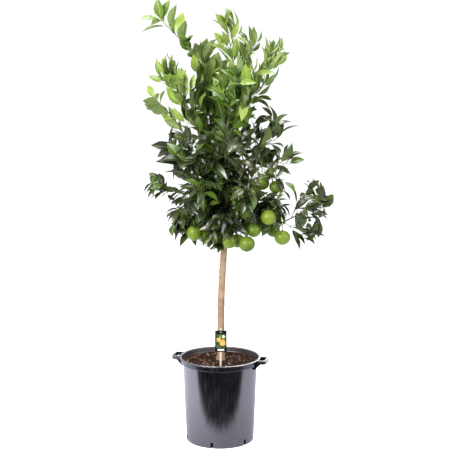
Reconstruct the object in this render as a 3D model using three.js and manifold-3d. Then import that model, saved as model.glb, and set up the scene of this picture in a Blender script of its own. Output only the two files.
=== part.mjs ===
// An orange tree grown as a standard: a bare stem with a head of leafy boughs and green fruit, in a
// plastic nursery pot with a banded rim and two loop handles, filled with potting mix, with a picture
// label on a white stake. Millimetres, +Z up, +Y to the back. The origin is the middle of the pot's
// flat underside.
import * as THREE from "three";
import { mergeVertices } from "three/addons/utils/BufferGeometryUtils.js";
import Module from "manifold-3d";

const wasm = await Module();
wasm.setup();

// The pot.
const potHeight = 370;
const rimRadius = 180;
const lipRadius = 169;
const footRadius = 148.5;
const shoulderRadius = 163;
const wall = 3;
const bandHeight = 24;
const bandRadius = 173;
const bandStep = 4; // the slope from the wall out to the band
const rimDrop = 4.5; // from the top of the pot to the foot of its rim
const floorThickness = 4;
const potSides = 32;
const potTurn = (-13.5 * Math.PI) / 180; // the handles stand this far off the X axis
const drainSlots = 6;
const slotWidth = 12;
const slotHeight = 26;
const slotDepth = 16;
const pocketTurn = (-17.5 * Math.PI) / 180;
const pocketSize = [8, 4, 13];
const pocketDrop = 14;

// The two handles.
const handleReach = 208;
const handleWidth = 96;
const handleBar = 9;
const handleDepth = 14;
const handleTop = 371.5;
const gripCorner = 10;
const gripInset = 6; // of the finger gap from the lip
const webThickness = 4;
const webDrop = 27;

// The potting mix, the label and its stake.
const soilTop = potHeight - 22;
const cardWidth = 50;
const cardHeight = 92;
const cardThickness = 1.2;
const cardX = 4.5;
const cardY = -150;
const cardFoot = 429;
const stakeWidth = 8;
const stakeThickness = 2;
const stakeTop = 530;
const pegRadius = 2.6;
const pegLength = 5;
const pegDrop = 8; // from the card's top edge
const pegClearance = 0.5;

// The wood.
const clearance = 0.3;
const trunkFoot = new THREE.Vector3(4, 30, soilTop - 8); // cut off level just above the soil
const trunkBends = [[4, 26, 480], [5, 19, 618], [12, 13, 752], [18, 6, 850], [22, 0, 940], [20, 0, 985]];
const trunkSides = 10;
const trunkSteps = 10;
const trunkRadius = 16.6;
const forkRadius = 12.8;
const flare = 5.5;
const flareHeight = 20;
const graftHeight = 258;
const graftSwell = 0.9;
const graftLength = 16;
const boughSides = 5;
const boughStep = 110; // a bough has one bend for this length
const boughBelly = 0.2; // how far a bough's middle stands out, of its level reach
const boughSag = 0.12;
const boughTop = 0.985; // boughs from the very top of the trunk start this far up it

// The space of each mass, as shares of the line from its bough's tip to its far end.
const spaceMiddle = 0.46;
const spaceHalf = 0.56;
const massGap = 5;
const limbGap = 3.5;
const fruitGap = 2.5;
const trialStep = 6;

// The twigs and leaves.
const goldenAngle = Math.PI * (3 - Math.sqrt(5));
const twigGap = 0.31; // this one and the two below are shares of the mass's leaf length
const stemLeafGap = 0.15;
const leafGap = 0.25;
const firstTwig = 14; // along the stem
const lastTwig = 8; // short of the stem's end
const longestTwig = 110;
const shortestTwig = 20;
const tipRoom = 0.6; // of a leaf, kept free past a twig's end
const twigRadius = 1.9;
const twigTip = 1.4;
const stemTip = 2.9;
const stemSides = 4;
const stemSteps = 3;
const stemEnd = 0.9; // the stem stops this share of a leaf short of the far end
const stemBow = 0.28; // how long it keeps its bough's heading, of its length
const twigSides = 3;
const leafWidth = 0.64; // of its length
const leafBelly = 0.46;
const leafThickness = 0.022;
const thinnestLeaf = 2;
const shortestLeaf = 0.9; // of the mass's leaf length
const leafSpread = 0.3;
const endLeafSpare = 6;
const leafSink = 3; // down the twig's own middle
const leafSpacing = 12;
const twigSpacing = 4;
const stemSplay = 0.75;
const twigSplay = 0.85;
const endSplay = 0.25;
const leafTries = 9;
const trySplay = 0.06; // each further try leans out more and is shorter
const tryShrink = 0.045;

// The fruit and its stalk.
const fruitColumns = 7;
const fruitRows = 5;
const stalkArch = 26; // above the fruit
const stalkSink = 5;

// Each bough and the mass of leaves it carries: the limb it leaves, how far along it, its two radii
// and its tip, then the mass's far end, radius, leaf length, rise (up is positive, drooping negative),
// whether its leaves are the young light green ones, and its hanging fruit as [x, y, z, radius].
const crown = {
  middle_top: {
    from: "trunk", at: 1, radii: [9.6, 5.6], tip: [0, 12, 1250],
    end: [-22, 30, 1600], radius: 104, leaf: 100, rise: 0.5, young: true,
  },
  top_right: {
    from: "trunk", at: 0.97, radii: [8.4, 4.4], tip: [84, 14, 1460],
    end: [258, 0, 1744], radius: 88, leaf: 94, rise: 0.4, young: true,
  },
  left: {
    from: "trunk", at: 0.945, radii: [8.2, 5], tip: [-82, -32, 1130],
    end: [-252, -78, 1362], radius: 110, leaf: 92, rise: -0.2,
  },
  right: {
    from: "trunk", at: 0.925, radii: [8, 5], tip: [100, -8, 1110],
    end: [272, -20, 1448], radius: 118, leaf: 90, rise: 0.3,
    fruit: [[178, -112, 1143, 30]],
  },
  right_outer: {
    from: "right", at: 0.7, radii: [5, 4], tip: [180, -44, 1160],
    end: [340, -40, 1316], radius: 72, leaf: 80, rise: 0,
    fruit: [[236, -104, 1126, 28]],
  },
  top_left: {
    from: "middle_top", at: 0.6, radii: [5.6, 3.6], tip: [-58, 6, 1560],
    end: [-298, -20, 1893], radius: 88, leaf: 108, rise: 0.5, young: true,
  },
  top_middle: {
    from: "middle_top", at: 0.8, radii: [4.8, 3.4], tip: [-34, 42, 1450],
    end: [-66, 24, 1752], radius: 96, leaf: 106, rise: 0.5, young: true,
  },
  back_top: {
    from: "middle_top", at: 0.52, radii: [5, 4], tip: [8, 98, 1320],
    end: [20, 225, 1650], radius: 112, leaf: 102, rise: 0.4, young: true,
  },
  front_top: {
    from: "middle_top", at: 0.4, radii: [5.4, 4.2], tip: [26, -92, 1315],
    end: [78, -172, 1640], radius: 108, leaf: 108, rise: 0.4, young: true,
  },
  back: {
    from: "middle_top", at: 0.28, radii: [5.4, 4.2], tip: [6, 100, 1120],
    end: [0, 290, 1390], radius: 124, leaf: 96, rise: -0.2,
  },
  front: {
    from: "middle_top", at: 0.18, radii: [5.6, 4.4], tip: [-4, -74, 1130],
    end: [-24, -244, 1386], radius: 120, leaf: 98, rise: -0.3,
  },
  left_top: {
    from: "left", at: 0.7, radii: [5, 3.6], tip: [-86, -50, 1320],
    end: [-240, -92, 1664], radius: 104, leaf: 102, rise: 0.3, young: true,
  },
  left_tip: {
    from: "left", at: 0.84, radii: [4.2, 3.2], tip: [-140, -8, 1310],
    end: [-322, -46, 1560], radius: 68, leaf: 90, rise: 0.4, young: true,
  },
  back_left: {
    from: "left", at: 0.42, radii: [5, 4.2], tip: [-66, 84, 1110],
    end: [-212, 245, 1340], radius: 124, leaf: 96, rise: -0.2,
  },
  right_tip: {
    from: "top_right", at: 0.8, radii: [4.4, 3.4], tip: [72, -26, 1500],
    end: [20, -46, 1860], radius: 90, leaf: 102, rise: 0.5, young: true,
  },
  top_fan: {
    from: "top_right", at: 0.9, radii: [4.2, 3.4], tip: [104, 26, 1540],
    end: [140, 6, 1800], radius: 82, leaf: 98, rise: 0.5, young: true,
  },
  back_right: {
    from: "right", at: 0.5, radii: [5, 4.2], tip: [88, 84, 1105],
    end: [224, 255, 1340], radius: 124, leaf: 96, rise: -0.2,
  },
  front_left: {
    from: "trunk", at: 0.96, radii: [5.4, 4], tip: [-24, -44, 1040],
    end: [-116, -240, 1106], radius: 122, leaf: 84, rise: -0.6,
  },
  front_right: {
    from: "trunk", at: 0.955, radii: [5.4, 4], tip: [54, -44, 1045],
    end: [134, -240, 1100], radius: 122, leaf: 84, rise: -0.6,
  },
  front_low: {
    from: "trunk", at: 0.905, radii: [5.6, 4.2], tip: [14, -40, 965],
    end: [8, -262, 985], radius: 116, leaf: 86, rise: -0.6,
    fruit: [[40, -196, 910, 31.5], [74, -142, 903, 30], [112, -206, 899, 33.5]],
  },
  left_low: {
    from: "trunk", at: 0.885, radii: [5.6, 4], tip: [-34, -26, 975],
    end: [-205, -140, 1012], radius: 116, leaf: 86, rise: -0.5,
    fruit: [[-106, -156, 938, 32.5], [-72, -104, 926, 29.5]],
  },
  left_spray: {
    from: "left_low", at: 0.6, radii: [4, 2.9], tip: [-92, -24, 1050],
    end: [-324, -108, 1160], radius: 72, leaf: 78, rise: 0.1,
  },
  right_low: {
    from: "trunk", at: 0.87, radii: [6.4, 4.2], tip: [86, -40, 985],
    end: [276, -140, 1070], radius: 116, leaf: 86, rise: -0.4,
    fruit: [[142, -146, 948, 30], [202, -166, 1005, 32.5], [262, -136, 916, 33], [226, -84, 940, 29.5]],
  },
  right_spray: {
    from: "right_low", at: 0.62, radii: [5, 3.6], tip: [262, -24, 962],
    end: [484, -40, 1080], radius: 136, leaf: 90, rise: 0,
  },
  back_low_left: {
    from: "trunk", at: 0.895, radii: [5.4, 4.2], tip: [-24, 50, 975],
    end: [-180, 225, 1030], radius: 118, leaf: 92, rise: -0.6,
    fruit: [[-92, 176, 916, 32], [-150, 118, 930, 30]],
  },
  back_low_right: {
    from: "trunk", at: 0.915, radii: [5.4, 4.2], tip: [56, 54, 975],
    end: [212, 232, 1030], radius: 118, leaf: 92, rise: -0.6,
    fruit: [[120, 186, 912, 32]],
  },
};

// Plastics, soil, bark, and leaves of two ages.
const materials = {
  pot: new THREE.MeshStandardMaterial({ color: 0x3a3a3f, roughness: 0.35, metalness: 0 }),
  soil: new THREE.MeshStandardMaterial({ color: 0x4a382c, roughness: 1, metalness: 0 }),
  stake: new THREE.MeshStandardMaterial({ color: 0xf1ece8, roughness: 0.45, metalness: 0 }),
  card: new THREE.MeshStandardMaterial({ color: 0x1c211d, roughness: 0.3, metalness: 0 }),
  bark: new THREE.MeshStandardMaterial({ color: 0xb99a78, roughness: 0.85, metalness: 0 }),
  youngLeaf: new THREE.MeshStandardMaterial({ color: 0x7f9e3c, roughness: 0.45, metalness: 0 }),
  matureLeaf: new THREE.MeshStandardMaterial({ color: 0x35542c, roughness: 0.4, metalness: 0 }),
};

const tree = new THREE.Group();
const up = new THREE.Vector3(0, 0, 1);
const vector = (place) => new THREE.Vector3(...place);

// A closed geometry as a solid that can be joined and cut.
function solidOf(geometry) {
  const bare = geometry.clone();
  bare.deleteAttribute("normal");
  bare.deleteAttribute("uv");
  const merged = mergeVertices(bare, 1e-3);
  return new wasm.Manifold(
    new wasm.Mesh({
      numProp: 3,
      vertProperties: new Float32Array(merged.attributes.position.array),
      triVerts: new Uint32Array(merged.index.array),
    }),
  );
}

// A joined or cut solid as a named mesh; loose scraps are dropped.
function addPiece(name, solid, material, parent = tree) {
  const whole = solid.decompose().sort((a, b) => b.volume() - a.volume())[0].simplify(0.02);
  const { numProp, numVert, vertProperties, triVerts } = whole.getMesh();
  const places = new Float32Array(numVert * 3);
  for (let i = 0; i < numVert; i++) {
    places.set(vertProperties.subarray(i * numProp, i * numProp + 3), i * 3);
  }
  const geometry = new THREE.BufferGeometry();
  geometry.setAttribute("position", new THREE.BufferAttribute(places, 3));
  geometry.setIndex(new THREE.BufferAttribute(triVerts, 1));
  geometry.computeVertexNormals();
  const mesh = new THREE.Mesh(geometry, material);
  mesh.name = name;
  parent.add(mesh);
  return whole;
}

// A ring turned about Z from (radius, height) pairs that close on themselves or on the axis.
function turned(profile) {
  const lathe = new THREE.LatheGeometry(profile.map(([r, z]) => new THREE.Vector2(r, z)), potSides);
  return solidOf(lathe.rotateX(Math.PI / 2));
}

function block(width, depth, height, x, y, z) {
  return new THREE.BoxGeometry(width, depth, height).translate(x, y, z);
}

// The outline of the pot's outside, pushed out by spare.
function potOutside(spare) {
  const bandFoot = potHeight - bandHeight;
  return [
    [footRadius + spare, -spare],
    [shoulderRadius + spare, bandFoot - bandStep - spare],
    [bandRadius - 1.5 + spare, bandFoot - spare],
    [bandRadius + spare, potHeight - rimDrop - 2.5 - spare],
    [rimRadius + spare, potHeight - rimDrop - spare],
    [rimRadius + spare, potHeight - 1],
    [rimRadius - 1.2 + spare, potHeight + spare],
  ];
}

// The outline of its inside, from the lip down to the floor, drawn in by spare.
function potInside(spare) {
  const bandFoot = potHeight - bandHeight;
  const shoulder = bandFoot - bandStep;
  const taper = (shoulderRadius - footRadius) / shoulder;
  return [
    [lipRadius - spare, potHeight],
    [bandRadius - 1.5 - wall - spare, bandFoot + 2],
    [shoulderRadius - wall - spare, shoulder],
    [footRadius + taper * floorThickness - wall - spare, floorThickness + spare],
  ];
}

function makePot(group) {
  const profile = [[0, 0], ...potOutside(0), ...potInside(0), [0, floorThickness]];
  let pot = turned(profile);
  for (let i = 0; i < drainSlots; i++) {
    const slot = block(slotWidth, slotDepth, slotHeight * 2, 0, -footRadius, 0);
    pot = pot.subtract(solidOf(slot.rotateZ((i * 2 * Math.PI) / drainSlots)));
  }
  // The small moulded pocket under the band, left of the front.
  const pocketHeight = potHeight - bandHeight - pocketDrop;
  const pocket = block(...pocketSize, 0, -shoulderRadius + 0.2, pocketHeight);
  pot = pot.subtract(solidOf(pocket.rotateZ(pocketTurn)));
  addPiece("pot", pot, materials.pot, group);
}

// The plan of a handle: a rounded loop about its finger gap.
function loopPlan() {
  const half = handleWidth / 2;
  const root = lipRadius;
  const plan = new THREE.Shape();
  plan.moveTo(root, -half);
  plan.lineTo(handleReach - gripCorner, -half);
  plan.absarc(handleReach - gripCorner, -half + gripCorner, gripCorner, -Math.PI / 2, 0, false);
  plan.absarc(handleReach - gripCorner, half - gripCorner, gripCorner, 0, Math.PI / 2, false);
  plan.lineTo(root, half);
  const grip = new THREE.Path();
  grip.moveTo(root + gripInset, -half + handleBar);
  grip.lineTo(handleReach - handleBar, -half + handleBar);
  grip.lineTo(handleReach - handleBar, half - handleBar);
  grip.lineTo(root + gripInset, half - handleBar);
  plan.holes.push(grip);
  return plan;
}

// The sloping plate under each arm of a handle, from the wall out to the grip.
function webPlate(place) {
  const ledge = handleTop - handleDepth;
  const web = new THREE.Shape();
  web.moveTo(shoulderRadius - 6, ledge + 1);
  web.lineTo(handleReach - handleBar - 2, ledge + 1);
  web.lineTo(handleReach - handleBar - 6, ledge - 2);
  web.lineTo(shoulderRadius - 6, ledge - webDrop);
  const plate = new THREE.ExtrudeGeometry(web, { depth: webThickness, bevelEnabled: false });
  return solidOf(plate.rotateX(Math.PI / 2).translate(0, place, 0));
}

// A loop handle: the grip and its two webs, cut to the rim's own shape.
function makeHandle(group, name, turn) {
  const half = handleWidth / 2;
  const grip = { depth: handleDepth, bevelEnabled: false, curveSegments: 3 };
  const loop = new THREE.ExtrudeGeometry(loopPlan(), grip);
  let handle = solidOf(loop.translate(0, 0, handleTop - handleDepth));
  handle = handle.add(webPlate(-half + webThickness));
  handle = handle.add(webPlate(half));
  const above = potHeight + handleDepth;
  const rim = potOutside(clearance).slice(0, -2);
  const filled = turned([[0, -clearance], ...rim, [rimRadius + clearance, above], [0, above]]);
  addPiece(name, handle.subtract(filled).rotate([0, 0, turn]), materials.pot, group);
}

function makeSoil(group) {
  const inside = potInside(clearance).reverse().slice(0, 3);
  const share = (soilTop - inside[2][1]) / (potHeight - inside[2][1]);
  const edge = inside[2][0] + share * (lipRadius - clearance - inside[2][0]);
  const mix = turned([[0, floorThickness + clearance], ...inside, [edge, soilTop], [0, soilTop]]);
  addPiece("soil", mix, materials.soil, group);
}

function makeLabel() {
  const plan = new THREE.Shape();
  const half = cardWidth / 2;
  plan.moveTo(-half, 0);
  plan.lineTo(half, 0);
  plan.lineTo(half, cardHeight);
  plan.lineTo(-half, cardHeight);
  const eye = new THREE.Path();
  eye.absarc(0, cardHeight - pegDrop, pegRadius + pegClearance, 0, 2 * Math.PI, true);
  plan.holes.push(eye);
  const sheet = { depth: cardThickness, bevelEnabled: false, curveSegments: 10 };
  const card = new THREE.ExtrudeGeometry(plan, sheet).rotateX(Math.PI / 2);
  addPiece("label_card", solidOf(card.translate(cardX, cardY, cardFoot)), materials.card);

  const foot = soilTop + clearance;
  const behind = cardY + clearance + stakeThickness / 2;
  const height = stakeTop - foot;
  const blade = block(stakeWidth, stakeThickness, height, cardX - 1, behind, foot + height / 2);
  const peg = new THREE.CylinderGeometry(pegRadius, pegRadius, pegLength, 10);
  peg.translate(cardX, behind - pegLength / 2, cardFoot + cardHeight - pegDrop);
  addPiece("label_stake", solidOf(blade).add(solidOf(peg)), materials.stake);
}

// A tapering limb along a curve: a closed cylinder bent along it.
function limbSolid(curve, radiusAt, sides, steps) {
  const frames = curve.computeFrenetFrames(steps, false);
  const geometry = new THREE.CylinderGeometry(1, 1, 1, sides, steps);
  const corner = geometry.attributes.position;
  for (let i = 0; i < corner.count; i++) {
    const ring = Math.round((corner.getY(i) + 0.5) * steps);
    const radius = radiusAt(ring / steps);
    const place = curve.getPointAt(ring / steps);
    place.addScaledVector(frames.normals[ring], corner.getX(i) * radius);
    place.addScaledVector(frames.binormals[ring], -corner.getZ(i) * radius);
    corner.setXYZ(i, place.x, place.y, place.z);
  }
  return solidOf(geometry);
}

// Trunk radius at a share of its height: an even taper, the root flare and the swelling at the graft.
const trunkCurve = new THREE.CatmullRomCurve3([trunkFoot, ...trunkBends.map(vector)]);
function trunkRadiusAt(share) {
  const height = share * trunkCurve.getLength();
  const taper = trunkRadius + (forkRadius - trunkRadius) * share ** 1.6;
  const root = flare * Math.exp(-height / flareHeight);
  const graft = graftSwell * Math.exp(-(((height - graftHeight) / graftLength) ** 2));
  return taper + root + graft;
}

// A bough's line: from inside its parent, bellied out and down, to its tip.
function boughCurve(start, tip) {
  const chord = tip.clone().sub(start);
  const flat = new THREE.Vector3(chord.x, chord.y, 0);
  const middle = start.clone().addScaledVector(chord, 0.5).addScaledVector(flat, boughBelly);
  middle.z -= boughSag * flat.length();
  return new THREE.QuadraticBezierCurve3(start, middle, tip);
}

const limbs = {
  trunk: { curve: trunkCurve, radiusAt: trunkRadiusAt, sides: trunkSides, steps: trunkSteps },
};
for (const [name, bough] of Object.entries(crown)) {
  const start = limbs[bough.from].curve.getPointAt(Math.min(bough.at, boughTop));
  const [thick, thin] = bough.radii;
  const curve = boughCurve(start, vector(bough.tip));
  const radiusAt = (share) => thick + (thin - thick) * share;
  const steps = Math.max(3, Math.round(curve.getLength() / boughStep));
  limbs[name] = { curve, radiusAt, sides: boughSides, steps };
}

// Straight stretches of each limb, to keep twigs and leaves off it.
const stretches = [];
for (const limb of Object.values(limbs)) {
  const count = limb.steps * 2;
  for (let i = 0; i < count; i++) {
    const share = i / count;
    const a = limb.curve.getPointAt(share);
    const b = limb.curve.getPointAt(share + 1 / count);
    stretches.push({ a, b, radius: limb.radiusAt(share) });
  }
}

function makeLimbs() {
  const grown = [];
  for (const [name, limb] of Object.entries(limbs)) {
    let solid = limbSolid(limb.curve, limb.radiusAt, limb.sides, limb.steps);
    for (const spare of grown) {
      solid = solid.subtract(spare);
    }
    if (name === "trunk") {
      addPiece(name, solid.trimByPlane([0, 0, 1], soilTop + clearance), materials.bark);
    } else {
      addPiece(`bough_${name}`, solid, materials.bark);
    }
    const fatter = (share) => limb.radiusAt(share) + clearance;
    grown.push(limbSolid(limb.curve, fatter, limb.sides, limb.steps));
  }
}

// A repeatable series of numbers from 0 to 1.
function numberSeries(seed) {
  let state = (seed * 2654435761 + 12345) >>> 0;
  return () => {
    state = (Math.imul(state, 1664525) + 1013904223) >>> 0;
    return state / 4294967296;
  };
}

// A direction that leans off an axis by splay, at a turn about it.
function leaning(axis, turn, splay) {
  const reference = Math.abs(axis.z) > 0.9 ? new THREE.Vector3(0, 1, 0) : up;
  const side = new THREE.Vector3().crossVectors(axis, reference).normalize();
  const other = new THREE.Vector3().crossVectors(axis, side);
  return axis.clone().multiplyScalar(Math.cos(splay))
    .addScaledVector(side, Math.cos(turn) * Math.sin(splay))
    .addScaledVector(other, Math.sin(turn) * Math.sin(splay));
}

function distanceToLine(point, a, b) {
  const along = b.clone().sub(a);
  const share = Math.min(1, Math.max(0, point.clone().sub(a).dot(along) / along.lengthSq()));
  return point.distanceTo(a.clone().addScaledVector(along, share));
}

// Each mass's space: a barrel with round ends from just before its bough's tip to its far end.
const masses = Object.entries(crown).map(([name, bough], index) => {
  const root = vector(bough.tip);
  const end = vector(bough.end);
  const axis = end.clone().sub(root);
  const middle = root.clone().addScaledVector(axis, spaceMiddle);
  const half = axis.length() * spaceHalf;
  axis.normalize();
  const fruit = (bough.fruit ?? []).map(([x, y, z, size]) => ({ centre: vector([x, y, z]), size }));
  return { ...bough, name, index, root, end, middle, half, axis, fruit };
});
const fruits = masses.flatMap((mass) => mass.fruit);

function insideSpace(mass, point) {
  const off = point.clone().sub(mass.middle);
  const along = off.dot(mass.axis);
  const across = Math.sqrt(Math.max(0, off.lengthSq() - along * along));
  return (along / mass.half) ** 4 + (across / mass.radius) ** 2 <= 1;
}

// Masses part where their stems are equally near, each distance weighed by the mass's radius.
function nearestToOwnStem(mass, point) {
  const own = distanceToLine(point, mass.root, mass.end) / mass.radius;
  return masses.every((other) => {
    const theirs = distanceToLine(point, other.root, other.end) / other.radius;
    const apart = (theirs - own) * Math.min(mass.radius, other.radius);
    return other === mass || apart > massGap;
  });
}

function clearOfLimbs(point) {
  return stretches.every(({ a, b, radius }) => distanceToLine(point, a, b) > radius + limbGap);
}

function clearOfFruit(point) {
  return fruits.every(({ centre, size }) => point.distanceTo(centre) > size + fruitGap);
}

function staysIn(mass, point) {
  const inOwn = insideSpace(mass, point) && nearestToOwnStem(mass, point);
  return inOwn && clearOfLimbs(point) && clearOfFruit(point);
}

// How far a twig could run from a place before it leaves the mass's space.
function roomAlong(mass, start, direction) {
  let room = 2 * trialStep;
  const free = () => staysIn(mass, start.clone().addScaledVector(direction, room));
  while (room < 2 * longestTwig && free()) {
    room += trialStep;
  }
  return room;
}

// A leaf is a thin wedge of four corners: its root inside the twig, its tip, and its two sides raised
// above the midrib.
function leafCorners({ base, root, along, normal, length }) {
  const side = new THREE.Vector3().crossVectors(normal, along);
  const half = (length * leafWidth) / 2;
  const thickness = Math.max(thinnestLeaf, length * leafThickness);
  const middle = base.clone().addScaledVector(along, length * leafBelly).addScaledVector(normal, thickness);
  return {
    root,
    tip: base.clone().addScaledVector(along, length),
    left: middle.clone().addScaledVector(side, half),
    right: middle.clone().addScaledVector(side, -half),
  };
}

// The places along a leaf's midrib and edges where its clearances are tried.
function leafSamples(leaf) {
  const { root, tip, left, right } = leafCorners(leaf);
  const mix = (a, b, share) => a.clone().lerp(b, share);
  const middle = mix(left, right, 0.5);
  const edge = (side) => [
    mix(root, side, 0.6),
    side,
    mix(side, tip, 0.3),
    mix(side, tip, 0.65),
    mix(side, middle, 0.5),
  ];
  return [
    mix(root, middle, 0.35),
    mix(root, middle, 0.7),
    middle,
    mix(middle, tip, 0.35),
    mix(middle, tip, 0.7),
    tip,
    ...edge(left),
    ...edge(right),
  ];
}

function leafSolid(leaf) {
  const { root, tip, left, right } = leafCorners(leaf);
  const corners = [right, left, tip, root];
  const faces = [2, 1, 0, 0, 3, 2, 1, 3, 0, 2, 3, 1];
  const geometry = new THREE.BufferGeometry();
  geometry.setFromPoints(faces.map((which) => corners[which]));
  return solidOf(geometry);
}

// A leaf that leaves its twig at a turn and a splay, its upper face to the sky and the outside of the
// crown.
function leafFrom(mass, base, axis, turn, splay, next) {
  const along = leaning(axis, turn, splay);
  const outward = new THREE.Vector3(base.x, base.y, 0).normalize();
  along.addScaledVector(outward, -along.dot(outward) * 0.7 * next());
  along.z += mass.rise * 0.7 + (next() - 0.5) * 0.3;
  along.normalize();
  const normal = outward.multiplyScalar(0.9);
  normal.add(new THREE.Vector3(next() - 0.5, next() - 0.5, 0.6 + 0.6 * (next() - 0.5)));
  normal.addScaledVector(along, -normal.dot(along)).normalize();
  const root = base.clone().addScaledVector(axis, -leafSink);
  const length = mass.leaf * (shortestLeaf + leafSpread * next());
  return { base, root, along, normal, length };
}

// The mass's stem carries on from its bough, bowing a little, to short of the far end.
function stemCurve(mass) {
  const heading = limbs[mass.name].curve.getTangentAt(1);
  const start = mass.root.clone().addScaledVector(heading, clearance);
  const end = mass.end.clone().addScaledVector(mass.axis, -mass.leaf * stemEnd);
  const ahead = start.clone().addScaledVector(heading, start.distanceTo(end) * stemBow);
  return new THREE.QuadraticBezierCurve3(start, ahead, end);
}

// The mass's side twigs by the golden angle, and the sites of the leaves along and at the end of each;
// where there is no room for a twig, a leaf sits on the stem.
function branch(mass, stem, next) {
  const stemLength = stem.getLength();
  const twigs = [];
  const sites = [];
  let turn = next() * 2 * Math.PI;
  let at = firstTwig;
  while (at < stemLength - lastTwig) {
    const base = stem.getPointAt(at / stemLength);
    const axis = stem.getTangentAt(at / stemLength);
    const out = leaning(axis, turn, 1.15 - (0.45 * at) / stemLength + (next() - 0.5) * 0.3);
    out.z += mass.rise * 0.2;
    out.normalize();
    const length = Math.min(longestTwig, roomAlong(mass, base, out) - mass.leaf * tipRoom);
    if (length < shortestTwig) {
      sites.push({ base, axis, turn, splay: stemSplay });
      at += mass.leaf * stemLeafGap;
    } else {
      const tip = base.clone().addScaledVector(out, length);
      const twig = new THREE.LineCurve3(base, tip);
      twigs.push(twig);
      const count = Math.max(1, Math.round(length / (mass.leaf * leafGap)));
      for (let j = 0; j < count; j++) {
        const place = base.clone().lerp(tip, 0.3 + (0.6 * (j + 0.4)) / count);
        const round = turn + (j + 1) * goldenAngle;
        sites.push({ base: place, axis: out, turn: round, splay: twigSplay, twig });
      }
      sites.push({ base: base.clone().lerp(tip, 0.96), axis: out, turn, splay: endSplay, twig });
      at += mass.leaf * twigGap;
    }
    turn += goldenAngle;
  }
  return { twigs, sites };
}

// The stem, its twigs, and a leaf at each site where one fits.
function grow(mass) {
  const next = numberSeries(mass.index + 1);
  const stem = stemCurve(mass);
  const joints = Array.from({ length: stemSteps + 1 }, (_, i) => stem.getPointAt(i / stemSteps));
  const { twigs, sites } = branch(mass, stem, next);
  const last = leafFrom(mass, stem.getPointAt(0.985), mass.axis, 0, 0.02, next);
  last.along = mass.axis.clone();
  last.length = mass.leaf * stemEnd + endLeafSpare;
  const leaves = [last];
  const taken = [];
  const clearOfLeaves = (point) => taken.every((other) => point.distanceTo(other) > leafSpacing);
  const clearOfTwigs = (point, own) =>
    twigs.every((twig) => twig === own || distanceToLine(point, twig.v1, twig.v2) > twigSpacing);
  const clearOfStem = (point) =>
    joints.every(
      (joint, i) => i === 0 || distanceToLine(point, joints[i - 1], joint) > stemTip / 2 + twigSpacing,
    );
  const isFree = (point, own) => clearOfLeaves(point) && clearOfTwigs(point, own) && clearOfStem(point);
  for (const site of sites) {
    let spin = site.turn;
    for (let tries = 0; tries < leafTries; tries++) {
      const leaf = leafFrom(mass, site.base, site.axis, spin, site.splay + trySplay * tries, next);
      leaf.length *= 1 - tryShrink * tries;
      const samples = leafSamples(leaf);
      const outer = samples.slice(1);
      const inside = samples.every((point) => staysIn(mass, point));
      if (inside && outer.every((point) => isFree(point, site.twig))) {
        leaves.push(leaf);
        taken.push(...outer);
        break;
      }
      spin += goldenAngle;
    }
  }
  return { stem, twigs, leaves };
}

// A fruit's stalk: an arching twig from the mass's stem that comes down on the fruit.
function stalkCurve(stem, { centre, size }) {
  const above = centre.clone().addScaledVector(up, size + 50);
  const starts = Array.from({ length: 9 }, (_, i) => stem.getPointAt(0.1 + i * 0.1));
  const start = starts.sort((a, b) => a.distanceTo(above) - b.distanceTo(above))[0];
  const bend = centre.clone();
  bend.z = Math.max(start.z + 4, centre.z + size + stalkArch);
  const foot = centre.clone().addScaledVector(up, size - stalkSink);
  return new THREE.QuadraticBezierCurve3(start, bend, foot);
}

function makeMasses() {
  for (const mass of masses) {
    const { stem, twigs, leaves } = grow(mass);
    const thick = limbs[mass.name].radiusAt(1);
    const stemRadius = (share) => thick + (stemTip - thick) * share;
    const twigRadiusAt = (share) => twigRadius + (twigTip - twigRadius) * share;
    const solids = [limbSolid(stem, stemRadius, stemSides, stemSteps)];
    for (const twig of twigs) {
      solids.push(limbSolid(twig, twigRadiusAt, twigSides, 1));
    }
    solids.push(...leaves.map(leafSolid));
    for (const fruit of mass.fruit) {
      solids.push(limbSolid(stalkCurve(stem, fruit), () => twigRadius, twigSides, 2));
      const ball = new THREE.SphereGeometry(fruit.size, fruitColumns, fruitRows);
      solids.push(solidOf(ball.rotateX(Math.PI / 2).translate(...fruit.centre.toArray())));
    }
    const material = mass.young ? materials.youngLeaf : materials.matureLeaf;
    addPiece(`foliage_${mass.name}`, wasm.Manifold.union(solids), material);
  }
}

const potGroup = new THREE.Group();
potGroup.rotation.z = potTurn;
tree.add(potGroup);
makePot(potGroup);
makeHandle(potGroup, "handle_right", 0);
makeHandle(potGroup, "handle_left", 180);
makeSoil(potGroup);
makeLabel();
makeLimbs();
makeMasses();

export default tree;
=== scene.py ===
import math

import bmesh
import bpy
import numpy as np
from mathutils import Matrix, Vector, noise


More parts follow.
